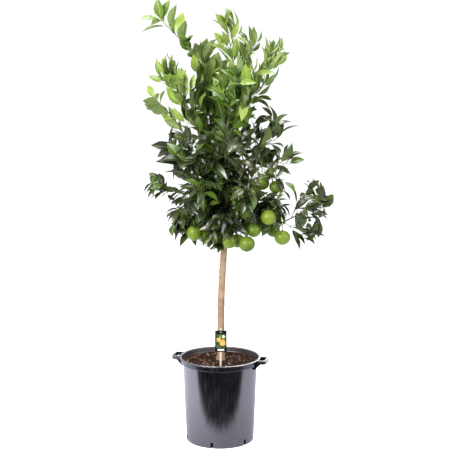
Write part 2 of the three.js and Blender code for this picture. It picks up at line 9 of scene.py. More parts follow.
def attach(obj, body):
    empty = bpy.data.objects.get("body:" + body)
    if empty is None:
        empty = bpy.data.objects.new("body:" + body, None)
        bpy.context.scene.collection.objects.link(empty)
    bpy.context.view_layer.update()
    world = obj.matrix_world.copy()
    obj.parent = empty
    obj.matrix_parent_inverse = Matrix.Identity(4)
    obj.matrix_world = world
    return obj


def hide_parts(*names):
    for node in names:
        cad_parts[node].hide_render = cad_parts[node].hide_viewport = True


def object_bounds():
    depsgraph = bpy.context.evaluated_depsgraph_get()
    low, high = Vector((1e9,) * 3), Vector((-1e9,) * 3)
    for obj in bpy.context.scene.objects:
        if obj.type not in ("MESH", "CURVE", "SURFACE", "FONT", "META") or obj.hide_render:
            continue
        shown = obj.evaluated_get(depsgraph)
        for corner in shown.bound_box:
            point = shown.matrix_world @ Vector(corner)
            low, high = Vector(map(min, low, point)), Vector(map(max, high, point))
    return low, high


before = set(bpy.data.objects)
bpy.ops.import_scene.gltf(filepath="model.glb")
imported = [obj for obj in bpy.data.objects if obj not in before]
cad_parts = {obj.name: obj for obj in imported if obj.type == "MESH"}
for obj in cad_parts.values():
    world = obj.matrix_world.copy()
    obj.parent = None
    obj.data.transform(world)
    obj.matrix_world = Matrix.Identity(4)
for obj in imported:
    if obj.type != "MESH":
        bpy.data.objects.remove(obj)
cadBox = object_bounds()
print("frame loaded:", len(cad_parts), "nodes")

mm = 0.001  # sizes below are in millimetres, meshes in metres
up = np.array([0.0, 0.0, 1.0])
white = (1, 1, 1, 1)
black = (0, 0, 0, 1)
goldenAngle = math.pi * (3 - math.sqrt(5))

# Camera, floor and soft light

studio = {
    "cameraPlace": (0.022, -4.2, 1.487),
    "cameraPitch": 7.266,  # degrees under level
    "lens": 78.33,
    "ambient": 0.07,  # soft white light from all round
    "sheen": 0.5,  # how bright the room looks in gloss
    "backdrop": 1.06,  # how white the backdrop looks
    "floorSize": 30.0,
    "floorColor": "f4f3f3",
    "floorLift": 1.05,  # keeps the floor as white as the backdrop
    "lights": [  # name, place, what it points at, width, height, watts
        ("keyLeft", (-2.3, -3.1, 2.7), (0, 0, 1.1), 2.4, 2.4, 285),
        ("fillRight", (2.9, -1.6, 2.0), (0, 0, 0.9), 1.4, 2.4, 80),
        ("topSoft", (0.2, 0.3, 4.2), (0, 0, 1.0), 2.0, 2.0, 150),
        ("backSoft", (0.8, 3.4, 2.4), (0, 0, 1.1), 2.0, 2.0, 60),
    ],
    # painted reflections for the pot's gloss, sheets that only gloss shows: dark for the room ahead, a
    # glowing one on the floor behind it, brighter to the left
    "darkEdge": -0.46, "edgeDark": -0.41, "edgeBright": -0.3, "edgeStreak": 0.2,
    "sheetWidth": 3.0, "darkWidth": 7.2, "darkStart": -3.8, "sheetBack": 1.4, "sheetStrength": 2.12,
    "sheetCentre": 0.44, "sheetRight": 0.66,  # shares of the left side's brightness
}


def makeCamera():
    data = bpy.data.cameras.new("camera")
    data.lens = studio["lens"]
    data.sensor_width = 36
    camera = bpy.data.objects.new("camera", data)
    bpy.context.scene.collection.objects.link(camera)
    camera.location = studio["cameraPlace"]
    camera.rotation_euler = (math.radians(90 - studio["cameraPitch"]), 0, 0)
    bpy.context.scene.camera = camera


def makeLights():
    for name, spot, target, width, height, watts in studio["lights"]:
        data = bpy.data.lights.new(name, "AREA")
        data.shape = "RECTANGLE"
        data.size = width
        data.size_y = height
        data.energy = watts
        light = bpy.data.objects.new(name, data)
        light.location = spot
        light.rotation_euler = (Vector(target) - Vector(spot)).to_track_quat("-Z", "Y").to_euler()
        bpy.context.scene.collection.objects.link(light)
    world = bpy.data.worlds.new("softWhite")
    world.use_nodes = True
    tree = world.node_tree
    rays = place(tree, "ShaderNodeLightPath").outputs
    background = tree.nodes["Background"].inputs
    background["Color"].default_value = white
    seen = ranged(tree, rays["Is Camera Ray"], 0, 1, studio["ambient"], studio["backdrop"])
    mirrored = ranged(tree, rays["Is Glossy Ray"], 0, 1, 0, studio["sheen"] - studio["ambient"])
    tree.links.new(plus(tree, seen, mirrored), background["Strength"])
    bpy.context.scene.world = world
    bpy.context.scene.view_settings.view_transform = "Standard"


# Shader helpers

def paint(code):
    def linear(part):
        value = int(part, 16) / 255
        return value / 12.92 if value <= 0.04045 else ((value + 0.055) / 1.055) ** 2.4
    return (*[linear(code[i:i + 2]) for i in (0, 2, 4)], 1)


def place(tree, kind, inputs=None, **settings):
    node = tree.nodes.new(kind)
    for key, value in settings.items():
        setattr(node, key, value)
    for key, value in (inputs or {}).items():
        if isinstance(value, bpy.types.NodeSocket):
            tree.links.new(value, node.inputs[key])
        else:
            node.inputs[key].default_value = value
    return node


def mixed(tree, factor, a, b):
    # sockets 0, 6 and 7 of a colour Mix are its factor and its two colours
    return place(tree, "ShaderNodeMix", {0: factor, 6: a, 7: b}, data_type="RGBA").outputs[2]


def ranged(tree, value, low, high, toLow=0.0, toHigh=1.0):
    sockets = {"Value": value, "From Min": low, "From Max": high, "To Min": toLow, "To Max": toHigh}
    return place(tree, "ShaderNodeMapRange", sockets).outputs["Result"]


def times(tree, a, b):
    return place(tree, "ShaderNodeMath", {0: a, 1: b}, operation="MULTIPLY").outputs[0]


def plus(tree, a, b):
    return place(tree, "ShaderNodeMath", {0: a, 1: b}, operation="ADD").outputs[0]


def scaled(tree, point, share):
    return place(tree, "ShaderNodeVectorMath", {0: point, 1: share}, operation="MULTIPLY").outputs[0]


def feed(material, **values):
    # joins each value to the shader's socket of that name
    tree = material.node_tree
    for socket, value in values.items():
        tree.links.new(value, tree.nodes["Principled BSDF"].inputs[socket.replace("_", " ")])


def newMaterial(name, color, roughness, **values):
    material = bpy.data.materials.new(name)
    material.use_nodes = True
    material.diffuse_color = paint(color)
    surface = material.node_tree.nodes["Principled BSDF"]
    surface.inputs["Base Color"].default_value = paint(color)
    surface.inputs["Roughness"].default_value = roughness
    for socket, value in values.items():
        surface.inputs[socket.replace("_", " ")].default_value = value
    return material


def newGroup(name, inputs, outputs):
    group = bpy.data.node_groups.new(name, "ShaderNodeTree")
    for direction, sockets in (("INPUT", inputs), ("OUTPUT", outputs)):
        for label, kind, value in sockets:
            socket = group.interface.new_socket(label, in_out=direction, socket_type="NodeSocket" + kind)
            if value is not None:
                socket.default_value = value
    return group, place(group, "NodeGroupInput").outputs, place(group, "NodeGroupOutput").inputs


def objectPoint(tree):
    return place(tree, "ShaderNodeTexCoord").outputs["Object"]


# Two colours in soft patches.
mottle, given, result = newGroup(
    "mottle",
    [("Vector", "Vector", None), ("Light", "Color", white), ("Dark", "Color", black),
     ("Scale", "Float", 20), ("Low", "Float", 0.35), ("High", "Float", 0.65)],
    [("Color", "Color", None), ("Mask", "Float", None)],
)
cloud = place(mottle, "ShaderNodeTexNoise",
              {"Vector": given["Vector"], "Scale": given["Scale"], "Detail": 5.0}).outputs["Fac"]
mask = ranged(mottle, cloud, given["Low"], given["High"])
mottle.links.new(mixed(mottle, mask, given["Dark"], given["Light"]), result["Color"])
mottle.links.new(mask, result["Mask"])

# Fine relief as a bump, with the pattern drawn out along Z by Stretch.
relief, given, result = newGroup(
    "relief",
    [("Vector", "Vector", None), ("Scale", "Float", 300), ("Stretch", "Float", 1), ("Depth", "Float", 0.0002),
     ("Strength", "Float", 0.4)],
    [("Normal", "Vector", None), ("Mask", "Float", None)],
)
squeeze = place(relief, "ShaderNodeCombineXYZ", {"X": 1.0, "Y": 1.0, "Z": given["Stretch"]}).outputs[0]
squeezed = scaled(relief, given["Vector"], squeeze)
grain = place(relief, "ShaderNodeTexNoise",
              {"Vector": squeezed, "Scale": given["Scale"], "Detail": 4.0}).outputs["Fac"]
bump = place(relief, "ShaderNodeBump",
             {"Height": grain, "Distance": given["Depth"], "Strength": given["Strength"]}).outputs["Normal"]
relief.links.new(bump, result["Normal"])
relief.links.new(grain, result["Mask"])


def placeGroup(material, group, values):
    tree = material.node_tree
    return place(tree, "ShaderNodeGroup", {"Vector": objectPoint(tree), **values}, node_tree=group).outputs


def addMottle(material, light, dark, scale, low=0.35, high=0.65):
    values = {"Light": paint(light), "Dark": paint(dark), "Scale": scale, "Low": low, "High": high}
    result = placeGroup(material, mottle, values)
    return result["Color"], result["Mask"]


def addRelief(material, scale, depth, stretch=1.0, strength=0.5, rough=None):
    result = placeGroup(material, relief, {"Scale": scale, "Stretch": stretch, "Depth": depth,
                                           "Strength": strength})
    feed(material, Normal=result["Normal"])
    if rough:
        feed(material, Roughness=ranged(material.node_tree, result["Mask"], 0.3, 0.7, *rough))
    return result["Mask"]


# Modelling helpers

def selectOnly(piece):
    bpy.ops.object.select_all(action="DESELECT")
    piece.select_set(True)
    bpy.context.view_layer.objects.active = piece


def editing(piece, on):
    if on:
        selectOnly(piece)
    bpy.ops.object.mode_set(mode="EDIT" if on else "OBJECT")


def added(operator, **settings):
    # a new primitive, selected alone
    bpy.ops.object.select_all(action="DESELECT")
    operator(**settings)
    return bpy.context.active_object


def pick(piece, kind, test):
    bpy.ops.mesh.select_mode(type={"verts": "VERT", "edges": "EDGE", "faces": "FACE"}[kind])
    bpy.ops.mesh.select_all(action="DESELECT")
    form = bmesh.from_edit_mesh(piece.data)
    for part in getattr(form, kind):
        part.select_set(test(part))
    bmesh.update_edit_mesh(piece.data)


def bevelEdges(piece, rounding, segments, axis=None):
    # all its edges, or those along one axis
    def runsAlong(edge):
        return axis is None or abs((edge.verts[0].co - edge.verts[1].co).normalized()[axis]) > 0.9
    editing(piece, True)
    pick(piece, "edges", runsAlong)
    bpy.ops.mesh.bevel(offset=rounding * mm, segments=segments, affect="EDGES")
    editing(piece, False)


def applied(piece, kind, **settings):
    selectOnly(piece)
    modifier = piece.modifiers.new(kind.lower(), kind)
    for key, value in settings.items():
        setattr(modifier, key, value)
    bpy.ops.object.modifier_apply(modifier=modifier.name)


def carve(piece, tool, operation="DIFFERENCE"):
    applied(piece, "BOOLEAN", object=tool, operation=operation, solver="EXACT")
    bpy.data.objects.remove(tool)


def settle(piece):
    selectOnly(piece)
    bpy.ops.object.transform_apply(location=True, rotation=True, scale=True)


def tidyMesh(piece, reach=1e-6):
    editing(piece, True)
    bpy.ops.mesh.select_all(action="SELECT")
    bpy.ops.mesh.remove_doubles(threshold=reach)
    bpy.ops.mesh.normals_make_consistent(inside=False)
    editing(piece, False)


def smoothed(piece, angle, weighted=False):
    selectOnly(piece)
    bpy.ops.object.shade_smooth_by_angle(angle=math.radians(angle))
    if weighted:
        # broad faces keep flat gloss beside their rounded edges
        applied(piece, "WEIGHTED_NORMAL", keep_sharp=True, weight=90)


def joined(pieces):
    bpy.ops.object.select_all(action="DESELECT")
    for piece in pieces:
        piece.select_set(True)
    bpy.context.view_layer.objects.active = pieces[0]
    bpy.ops.object.join()
    return bpy.context.view_layer.objects.active


def mount(piece, name, replaced=(), materials=None):
    piece.name = name
    piece.data.name = name
    if materials:
        # clearing the slots would lose which face has which material
        kinds = np.zeros(len(piece.data.polygons), np.int32)
        piece.data.polygons.foreach_get("material_index", kinds)
        piece.data.materials.clear()
        for material in materials:
            piece.data.materials.append(material)
        piece.data.polygons.foreach_set("material_index", np.minimum(kinds, len(materials) - 1))
    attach(piece, "root")
    if replaced:
        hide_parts(*replaced)
    return piece


def cornersAndFaces(piece):
    corners = np.array([vertex.co for vertex in piece.data.vertices])
    return corners, [list(face.vertices) for face in piece.data.polygons]


class Gathered:
    # many small meshes as one, in millimetres; a kind is a face's material
    def __init__(self):
        self.verts, self.faces, self.kinds, self.count = [], [], [], 0

    def add(self, verts, faces, kind=0):
        self.faces += [[self.count + i for i in face] for face in faces]
        self.kinds += [kind] * len(faces) if np.isscalar(kind) else list(kind)
        self.verts.append(verts)
        self.count += len(verts)

    def piece(self, name, smooth=True):
        mesh = bpy.data.meshes.new(name)
        mesh.from_pydata((np.concatenate(self.verts) * mm).tolist(), [], self.faces)
        mesh.polygons.foreach_set("material_index", np.asarray(self.kinds, np.int32))
        mesh.polygons.foreach_set("use_smooth", np.full(len(self.faces), smooth))
        mesh.update()
        piece = bpy.data.objects.new(name, mesh)
        bpy.context.scene.collection.objects.link(piece)
        return piece


# The pot

pot = {
    "height": 370, "rim": 180, "lip": 169, "foot": 148.5, "shoulder": 163, "wall": 3,
    "band": 24, "bandRadius": 173, "step": 4, "floor": 4,
    "turn": -13.5,  # the handles stand this many degrees off the X axis
    "slots": 6, "slotWidth": 12, "slotHeight": 26, "slotDepth": 16,
    "slotRounding": 1.5, "pocketTurn": -17.5, "pocketWidth": 8, "pocketDepth": 4, "pocketHeight": 13,
    "pocketDrop": 14, "pocketSink": 0.2, "pocketRounding": 0.8, "segments": 144, "cornerSteps": 4,
    # the pale tint is scuff wear, and also painted light: the lip's highlight and the handles' paleness
    "plastic": "100f13", "paleTintAndPaintedLight": "75707a", "dust": "1f1d22", "soiled": "2c211d",
    "gloss": 1.8, "shine": 1, "bandShine": 0.4, "gapShine": 0.15,
    "scuffScale": 210, "scuffDepth": 0.00022, "scuffStretch": 0.03,
    # shares of the pale tint on the scuffs, the upper inside and the lip, whose pale top is a painted
    # highlight as well as wear, and of the soiled one between two heights inside
    "scuffPale": 0.14, "bandPale": 0.4, "lipWearAndPaintedHighlight": 0.7, "soiledFrom": (344, 366), "soiledShare": (0.85, 0.1),
    "roughness": (0.13, 0.18), "scuffRoughFrom": (200, 80), "scuffRough": (0.25, 1),
    "bandRough": 0.06, "insideRough": 0.25, "gripRough": (0.04, 0.4),  # the handles' roughness: a base, and more for each share of painted light
}


def rounded(corners):
    # each corner (radius, height, rounding) becomes a short arc
    places = [np.array(corner[:2], float) for corner in corners]
    line = [places[0]]
    for before, here, after, (_, _, size) in zip(places, places[1:], places[2:], corners[1:-1]):
        back = before - here
        ahead = after - here
        size = min(size, 0.45 * np.linalg.norm(back), 0.45 * np.linalg.norm(ahead))
        back *= size / np.linalg.norm(back)
        ahead *= size / np.linalg.norm(ahead)
        for i in range(pot["cornerSteps"] + 1):
            t = i / pot["cornerSteps"]
            line.append(here + back * (1 - t) ** 2 + ahead * t ** 2)
    line.append(places[-1])
    return line


def potOutline():
    top = pot["height"]
    bandFoot = top - pot["band"]
    shoulder = bandFoot - pot["step"]
    taper = (pot["shoulder"] - pot["foot"]) / shoulder
    inner = pot["foot"] + taper * pot["floor"] - pot["wall"]
    # the radius and height of each corner, and how far it is rounded
    return rounded([
        (0, 0, 0), (pot["foot"], 0, 2.5), (pot["shoulder"], shoulder, 1),
        (pot["bandRadius"] - 1.5, bandFoot, 0.7), (pot["bandRadius"], top - 7, 1),
        (pot["rim"], top - 4.5, 1.5), (pot["rim"], top, 3),
        (pot["lip"], top, 2.5), (pot["bandRadius"] - 1.5 - pot["wall"], bandFoot + 2, 4),
        (pot["shoulder"] - pot["wall"], shoulder, 4), (inner, pot["floor"], 5), (0, pot["floor"], 0),
    ])


def spun(outline, segments):
    piece = added(bpy.ops.mesh.primitive_plane_add, size=mm)
    points = [Vector((radius * mm, 0, height * mm)) for radius, height in outline]
    editing(piece, True)
    bpy.ops.mesh.merge(type="CENTER")
    bpy.ops.transform.translate(value=points[0])
    for here, ahead in zip(points, points[1:]):
        bpy.ops.mesh.extrude_region_move(TRANSFORM_OT_translate={"value": ahead - here})
    bpy.ops.mesh.select_all(action="SELECT")
    bpy.ops.mesh.spin(steps=segments, angle=2 * math.pi, center=(0, 0, 0), axis=(0, 0, 1))
    editing(piece, False)
    tidyMesh(piece)
    return piece


def cutter(width, depth, height, radius, level, turn, rounding):
    # a rounded block set across the wall
    angle = math.radians(turn)
    spot = (radius * mm * math.sin(angle), -radius * mm * math.cos(angle), level * mm)
    piece = added(bpy.ops.mesh.primitive_cube_add, size=1, location=spot, rotation=(0, 0, angle),
                  scale=(width * mm, depth * mm, height * mm))
    settle(piece)
    bevelEdges(piece, rounding, 3)
    return piece


def makePotPlastic(name, shine, paintedLight=0.0):
    # paintedLight is how much paler a handle is painted: painted light, the lit left handle paler than the
    # right
    material = newMaterial(name, pot["plastic"], 0.2, IOR=pot["gloss"], Specular_IOR_Level=shine)
    tree = material.node_tree
    point = objectPoint(tree)
    z = place(tree, "ShaderNodeSeparateXYZ", {"Vector": point}).outputs["Z"]
    radius = place(tree, "ShaderNodeVectorMath", {0: scaled(tree, point, (1, 1, 0))},
                   operation="LENGTH").outputs["Value"]

    def rising(value, low, high, *ends):
        return ranged(tree, value, low * mm, high * mm, *ends)
    top, bandFoot = pot["height"], pot["height"] - pot["band"]
    pale = paint(pot["paleTintAndPaintedLight"])
    # scuffs run up and down the wall, as from stacking
    scuffs = addRelief(material, pot["scuffScale"], pot["scuffDepth"], pot["scuffStretch"], 0.22)
    scuffMask = ranged(tree, scuffs, 0.55, 0.72)
    clouds, cloudMask = addMottle(material, pot["dust"], pot["plastic"], 9, 0.45, 0.8)
    color = mixed(tree, times(tree, scuffMask, pot["scuffPale"]), clouds, pale)
    # the band, the lip and the inside are made duller; the inside near the top is paler, and the lip's top
    # the palest, a painted highlight as well as wear
    bandMask = rising(z, bandFoot - 3, bandFoot)
    inBand = times(tree, bandMask, rising(radius, pot["bandRadius"] - 4, pot["bandRadius"] - 3, 1, 0))
    gripMask = rising(radius, pot["rim"] + 1, pot["rim"] + 3)
    # painted light: the handles outside the rim are painted paler by paintedLight; the inside near the top is
    # paler by bandPale
    paleTintAndPaintedLight = plus(tree, times(tree, inBand, pot["bandPale"]), times(tree, gripMask, paintedLight))
    color = mixed(tree, paleTintAndPaintedLight, color, pale)
    # the mix has soiled the inside above it
    soiled = times(tree, inBand, rising(z, *pot["soiledFrom"], *pot["soiledShare"]))
    color = mixed(tree, soiled, color, paint(pot["soiled"]))
    # painted highlight: the lip's top is painted palest, with its wear
    color = mixed(tree, times(tree, rising(z, top - 2.2, top - 0.2), pot["lipWearAndPaintedHighlight"]), color, pale)
    # the scuffs are roughest at the foot
    rough = plus(tree, times(tree, scuffMask, rising(z, *pot["scuffRoughFrom"], *pot["scuffRough"])), 1)
    rough = times(tree, rough, ranged(tree, cloudMask, 0, 1, *pot["roughness"]))
    grip = pot["gripRough"][0] + pot["gripRough"][1] * paintedLight
    for mask, more in ((bandMask, pot["bandRough"]), (inBand, pot["insideRough"]), (gripMask, grip)):
        rough = plus(tree, rough, ranged(tree, mask, 0, 1, 0, more))
    feed(material, Base_Color=color, Roughness=rough)
    return material


def makePot():
    piece = spun(potOutline(), pot["segments"])
    bandFoot = pot["height"] - pot["band"]
    tools = [cutter(pot["slotWidth"], pot["slotDepth"], pot["slotHeight"] * 2, pot["foot"], 0,
                    i * 360 / pot["slots"] + pot["turn"], pot["slotRounding"]) for i in range(pot["slots"])]
    tools.append(cutter(pot["pocketWidth"], pot["pocketDepth"], pot["pocketHeight"],
                        pot["shoulder"] - pot["pocketSink"], bandFoot - pot["pocketDrop"],
                        pot["pocketTurn"] + pot["turn"], pot["pocketRounding"]))
    carve(piece, joined(tools))
    smoothed(piece, 32, weighted=True)
    for face in piece.data.polygons:
        # the band is less glossy than the wall and the lip
        face.material_index = (bandFoot - 1) * mm < face.center.z < (pot["height"] - 1) * mm
    mount(piece, "potShell", ["pot"], [potPlastic, bandPlastic])


def copyNode(node):
    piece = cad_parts[node].copy()
    piece.data = piece.data.copy()
    piece.parent = None
    for key in list(piece.keys()):
        del piece[key]
    bpy.context.scene.collection.objects.link(piece)
    editing(piece, True)
    bpy.ops.mesh.select_all(action="SELECT")
    bpy.ops.mesh.remove_doubles(threshold=1e-5)
    bpy.ops.mesh.dissolve_limited(angle_limit=math.radians(4))
    editing(piece, False)
    return piece


handle = {
    "root": 167, "reach": 212, "width": 80, "bar": 8, "top": 369.8, "depth": 16, "corner": 13, "gapCorner": 6,
    "web": 4, "webFoot": 329, "webReach": 192, "webFootReach": 164.5, "webRoot": 166.3, "webFootRoot": 156.5,
    # the left handle is painted paler than the right: painted light from the left
    "armRoot": 20, "rounding": 1.4, "leftWear": 0.28, "rightWear": 0.04,
}


def block(low, high, rounding=0):
    # an upright block from corner to corner, its upright edges rounded
    low, high = np.array(low) * mm, np.array(high) * mm
    piece = added(bpy.ops.mesh.primitive_cube_add, size=1, location=(low + high) / 2, scale=high - low)
    settle(piece)
    if rounding:
        bevelEdges(piece, rounding, 5, axis=2)
    return piece


def makeHandles():
    half, top, bar = handle["width"] / 2, handle["top"], handle["bar"]
    root, reach, ledge = handle["root"], handle["reach"], handle["top"] - handle["depth"]
    middle = (handle["webFoot"] + ledge) / 2 * mm
    split = (handle["webFootRoot"] + handle["webReach"]) / 2 * mm
    for side, turn in (("right", 0), ("left", 180)):
        piece = block((root, -half, ledge), (reach, half, top), handle["corner"])
        carve(piece, block((root - 30, bar - half, ledge - 5), (reach - bar, half - bar, top + 5),
                           handle["gapCorner"]))
        for start in (-half, half - bar):
            # the root end is square, so that both arms run into the band
            arm = block((root, start, ledge), (root + handle["armRoot"], start + bar, top))
            carve(piece, arm, "UNION")
        for start in (1 - half, half - 1 - handle["web"]):
            web = block((handle["webFootRoot"], start, handle["webFoot"]),
                        (handle["webReach"], start + handle["web"], ledge + 2))
            editing(web, True)
            pick(web, "verts", lambda vertex: vertex.co.z > middle and vertex.co.x < split)
            bpy.ops.transform.translate(value=((handle["webRoot"] - handle["webFootRoot"]) * mm, 0, 0))
            pick(web, "verts", lambda vertex: vertex.co.z < middle and vertex.co.x > split)
            bpy.ops.transform.translate(value=((handle["webFootReach"] - handle["webReach"]) * mm, 0, 0))
            editing(web, False)
            carve(piece, web, "UNION")
        tidyMesh(piece, 1e-5)
        for face in piece.data.polygons:
            # the sides of the finger gap lie in shade, so they get a duller copy of the plastic: painted
            # shade
            x, y, z = face.center / mm
            inGap = abs(y) < half - bar + 0.5 and x < reach - bar + 0.5 and z > ledge
            face.material_index = inGap and abs(face.normal.z) < 0.5
        piece.rotation_euler.z = math.radians(turn + pot["turn"])
        settle(piece)
        applied(piece, "BEVEL", width=handle["rounding"] * mm, segments=3, limit_method="ANGLE",
                angle_limit=math.radians(38))
        smoothed(piece, 40, weighted=True)
        # lit and shaded copies: the left handle's material is painted paler than the right's, painted light
        outside = makePotPlastic(f"handle{side.capitalize()}", pot["shine"], handle[f"{side}Wear"])
        mount(piece, f"handleLoop{side.capitalize()}", [f"handle_{side}"],
              [outside, gapPlastic])


# The potting mix and its bark chips

mix = {
    "top": 348, "edge": 166.8, "neck": 158.8, "neckHeight": 341.4, "foot": 145, "floor": 4.4,
    "cells": 88, "lump": 3.2, "grit": 1.1,
    "chips": 1700, "chipLength": (3, 12), "chipBias": 2.2, "seed": 71,
    "dark": "1a110c", "light": "4c3226",
    "chipColors": ["76503b", "4d3226", "2a1914", "40281f", "c0a48c", "22140f", "36211a", "1c100c"],
}


def mixHeight(x, y):
    point = Vector((x * 0.022, y * 0.022, 0.3))
    fine = Vector((x * 0.16, y * 0.16, 4.2))
    ramp = min(1, (mix["edge"] - math.hypot(x, y)) / 14)
    return mix["lump"] * (noise.noise(point) * ramp - 0.35) + mix["grit"] * noise.noise(fine) * ramp


def makeMix():
    cells = mix["cells"]
    piece = added(bpy.ops.mesh.primitive_grid_add, x_subdivisions=cells, y_subdivisions=cells, size=2)
    for vertex in piece.data.vertices:
        # the square grid becomes a disc
        a, b = vertex.co.x, vertex.co.y
        x = a * math.sqrt(1 - b * b / 2) * mix["edge"]
        y = b * math.sqrt(1 - a * a / 2) * mix["edge"]
        vertex.co = (x * mm, y * mm, (mix["top"] + mixHeight(x, y)) * mm)
    editing(piece, True)
    pick(piece, "edges", lambda edge: edge.is_boundary)
    for radius, height, before in ((mix["neck"], mix["neckHeight"], mix["edge"]),
                                   (mix["foot"], mix["floor"], mix["neck"])):
        bpy.ops.mesh.extrude_region_move(TRANSFORM_OT_translate={"value": (0, 0, -2 * mm)})
        share = radius / before
        bpy.ops.transform.resize(value=(share, share, 0), center_override=(0, 0, height * mm))
    bpy.ops.mesh.edge_face_add()
    editing(piece, False)
    tidyMesh(piece)
    smoothed(piece, 50)
    soil = newMaterial("pottingMix", mix["dark"], 0.95, Specular_IOR_Level=0.1)
    color, _ = addMottle(soil, mix["light"], mix["dark"], 140, 0.42, 0.68)
    tree = soil.node_tree
    z = place(tree, "ShaderNodeSeparateXYZ", {"Vector": objectPoint(tree)}).outputs["Z"]
    paintedShadeLow = ranged(tree, z, 0.1, 0.3, 1, 0)  # painted shade: near black low down, where the mix shows behind the slots
    feed(soil, Base_Color=mixed(tree, paintedShadeLow, color, (0.001, 0.001, 0.001, 1)))
    addRelief(soil, 420, 0.002, strength=0.9)
    mount(piece, "pottingMix", ["soil"], [soil])


def makeChips():
    # one rough chip is modelled, then strewn as a joined mesh
    model = added(bpy.ops.mesh.primitive_cube_add, size=1)
    editing(model, True)
    bpy.ops.mesh.subdivide(number_cuts=1)
    pick(model, "verts", lambda vertex: abs(vertex.co.x) > 0.4)
    bpy.ops.transform.resize(value=(1, 0.62, 0.7))
    pick(model, "verts", lambda vertex: vertex.co.x > 0.4 and vertex.co.y > 0.1)
    bpy.ops.transform.translate(value=(-0.18, 0, 0.12))
    editing(model, False)
    corners, faces = cornersAndFaces(model)
    bpy.data.objects.remove(model)
    following = numberSeries(mix["seed"])
    low, high = mix["chipLength"]
    chips = Gathered()
    for _ in range(mix["chips"]):
        radius = (mix["edge"] - 5) * math.sqrt(following())
        angle = 2 * math.pi * following()
        x, y = radius * math.cos(angle), radius * math.sin(angle)
        length = low + (high - low) * following() ** mix["chipBias"]
        size = np.array([length, length * (0.3 + 0.3 * following()), 1 + 1.6 * following()])
        turn, tip = 2 * math.pi * following(), (following() - 0.5) * 0.9
        spin = turnAbout(up, turn) @ turnAbout(np.array([0, 1.0, 0]), tip)
        spot = np.array([x, y, mix["top"] + mixHeight(x, y) + 0.6])
        chips.add((corners * size) @ spin.T + spot, faces, int(following() * len(mix["chipColors"])))
    materials = []
    for i, code in enumerate(mix["chipColors"]):
        chip = newMaterial(f"barkChip{i + 1}", code, 0.9, Specular_IOR_Level=0.15)
        addRelief(chip, 700, 0.0006, strength=0.7, rough=(0.75, 1))
        materials.append(chip)
    mount(chips.piece("barkChips", smooth=False), "barkChips", (), materials)


# Series, lines and turns

def numberSeries(seed):
    state = (seed * 2654435761 + 12345) % 2 ** 32

    def following():
        nonlocal state
        state = (state * 1664525 + 1013904223) % 2 ** 32
        return state / 2 ** 32
    return following


def unit(vector):
    return vector / np.linalg.norm(vector)


def turnAbout(axis, angle):
    x, y, z = axis
    c, s = math.cos(angle), math.sin(angle)
    cross = np.array([[0, -z, y], [z, 0, -x], [-y, x, 0]])
    return np.eye(3) * c + (1 - c) * np.outer(axis, axis) + s * cross


def leaning(axis, turn, splay):
    reference = np.array([0, 1.0, 0]) if abs(axis[2]) > 0.9 else up
    side = unit(np.cross(axis, reference))
    other = np.cross(axis, side)
    flat = math.cos(turn) * side + math.sin(turn) * other
    return axis * math.cos(splay) + flat * math.sin(splay)


def evenly(points, count):
    # the same line as count + 1 points, evenly spaced
    reach = np.concatenate([[0], np.cumsum(np.linalg.norm(np.diff(points, axis=0), axis=1))])
    spots = np.linspace(0, reach[-1], count + 1)
    return np.stack([np.interp(spots, reach, points[:, i]) for i in range(3)], axis=1)


def lineLength(line):
    return float(np.linalg.norm(np.diff(line, axis=0), axis=1).sum())


def alongLine(line, share):
    spot = min(max(share, 0), 1) * (len(line) - 1)
    i = min(int(spot), len(line) - 2)
    return line[i] + (line[i + 1] - line[i]) * (spot - i), unit(line[i + 1] - line[i])


def bent(start, middle, end, count=24):
    t = np.linspace(0, 1, count * 2 + 1)[:, None]
    return evenly((1 - t) ** 2 * start + 2 * t * (1 - t) * middle + t ** 2 * end, count)


def throughPoints(points, perSpan=16):
    # a smooth line through all the points, straighter where they lie close together
    points = [2 * points[0] - points[1], *points, 2 * points[-1] - points[-2]]
    line = []
    for p0, p1, p2, p3 in zip(points, points[1:], points[2:], points[3:]):
        d0, d1, d2 = [np.linalg.norm(b - a) ** 0.5 for a, b in ((p0, p1), (p1, p2), (p2, p3))]
        t1 = ((p1 - p0) / d0 - (p2 - p0) / (d0 + d1) + (p2 - p1) / d1) * d1
        t2 = ((p2 - p1) / d1 - (p3 - p1) / (d1 + d2) + (p3 - p2) / d2) * d1
        for i in range(perSpan):
            t = i / perSpan
            line.append(p1 + t1 * t + (-3 * p1 + 3 * p2 - 2 * t1 - t2) * t ** 2
                        + (2 * p1 - 2 * p2 + t1 + t2) * t ** 3)
    line.append(points[-2])
    return np.array(line)


def distances(points, starts, ends):
    # from each point to each straight stretch
    along = ends - starts
    share = np.einsum("psk,sk->ps", points[:, None] - starts, along) / np.einsum("sk,sk->s", along, along)
    nearest = starts + np.clip(share, 0, 1)[..., None] * along
    return np.linalg.norm(points[:, None] - nearest, axis=2)


# The wood: trunk and boughs

wood = {
    "trunkFoot": (4, 30, 340),
    "trunkBends": [(4, 26, 480), (5, 19, 618), (12, 13, 752), (18, 6, 850), (22, 0, 940), (20, 0, 985)],
    "trunkRadius": 16.6, "forkRadius": 12.8, "flare": 5.5, "flareHeight": 20,
    "graftHeight": 258, "graftSwell": 0.9, "graftLength": 16,
    "boughBelly": 0.2, "boughSag": 0.12, "boughTop": 0.985, "collar": 0.5, "collarLength": 13,
    "trunkSides": 40, "trunkStep": 5, "boughSides": 12, "boughStep": 8,
    "knots": [(0.17, 2.4, 1.1), (0.43, 5.2, 1.3), (0.63, 0.4, 1.5), (0.8, 3.6, 1.2)],  # height, side, swell
    "stemLight": "a78e74", "stemDark": "765c43", "lowLight": "6f5c48", "lowDark": "41352a",
    "highLight": "5a5a38", "highDark": "35301f",
}


def bough(parent, at, radii, tip, end, radius, leaf, rise, tone, **own):
    return {"from": parent, "at": at, "radii": radii, "tip": tip, "end": end, "radius": radius, "leaf": leaf,
            "rise": rise, "tone": tone, **own}


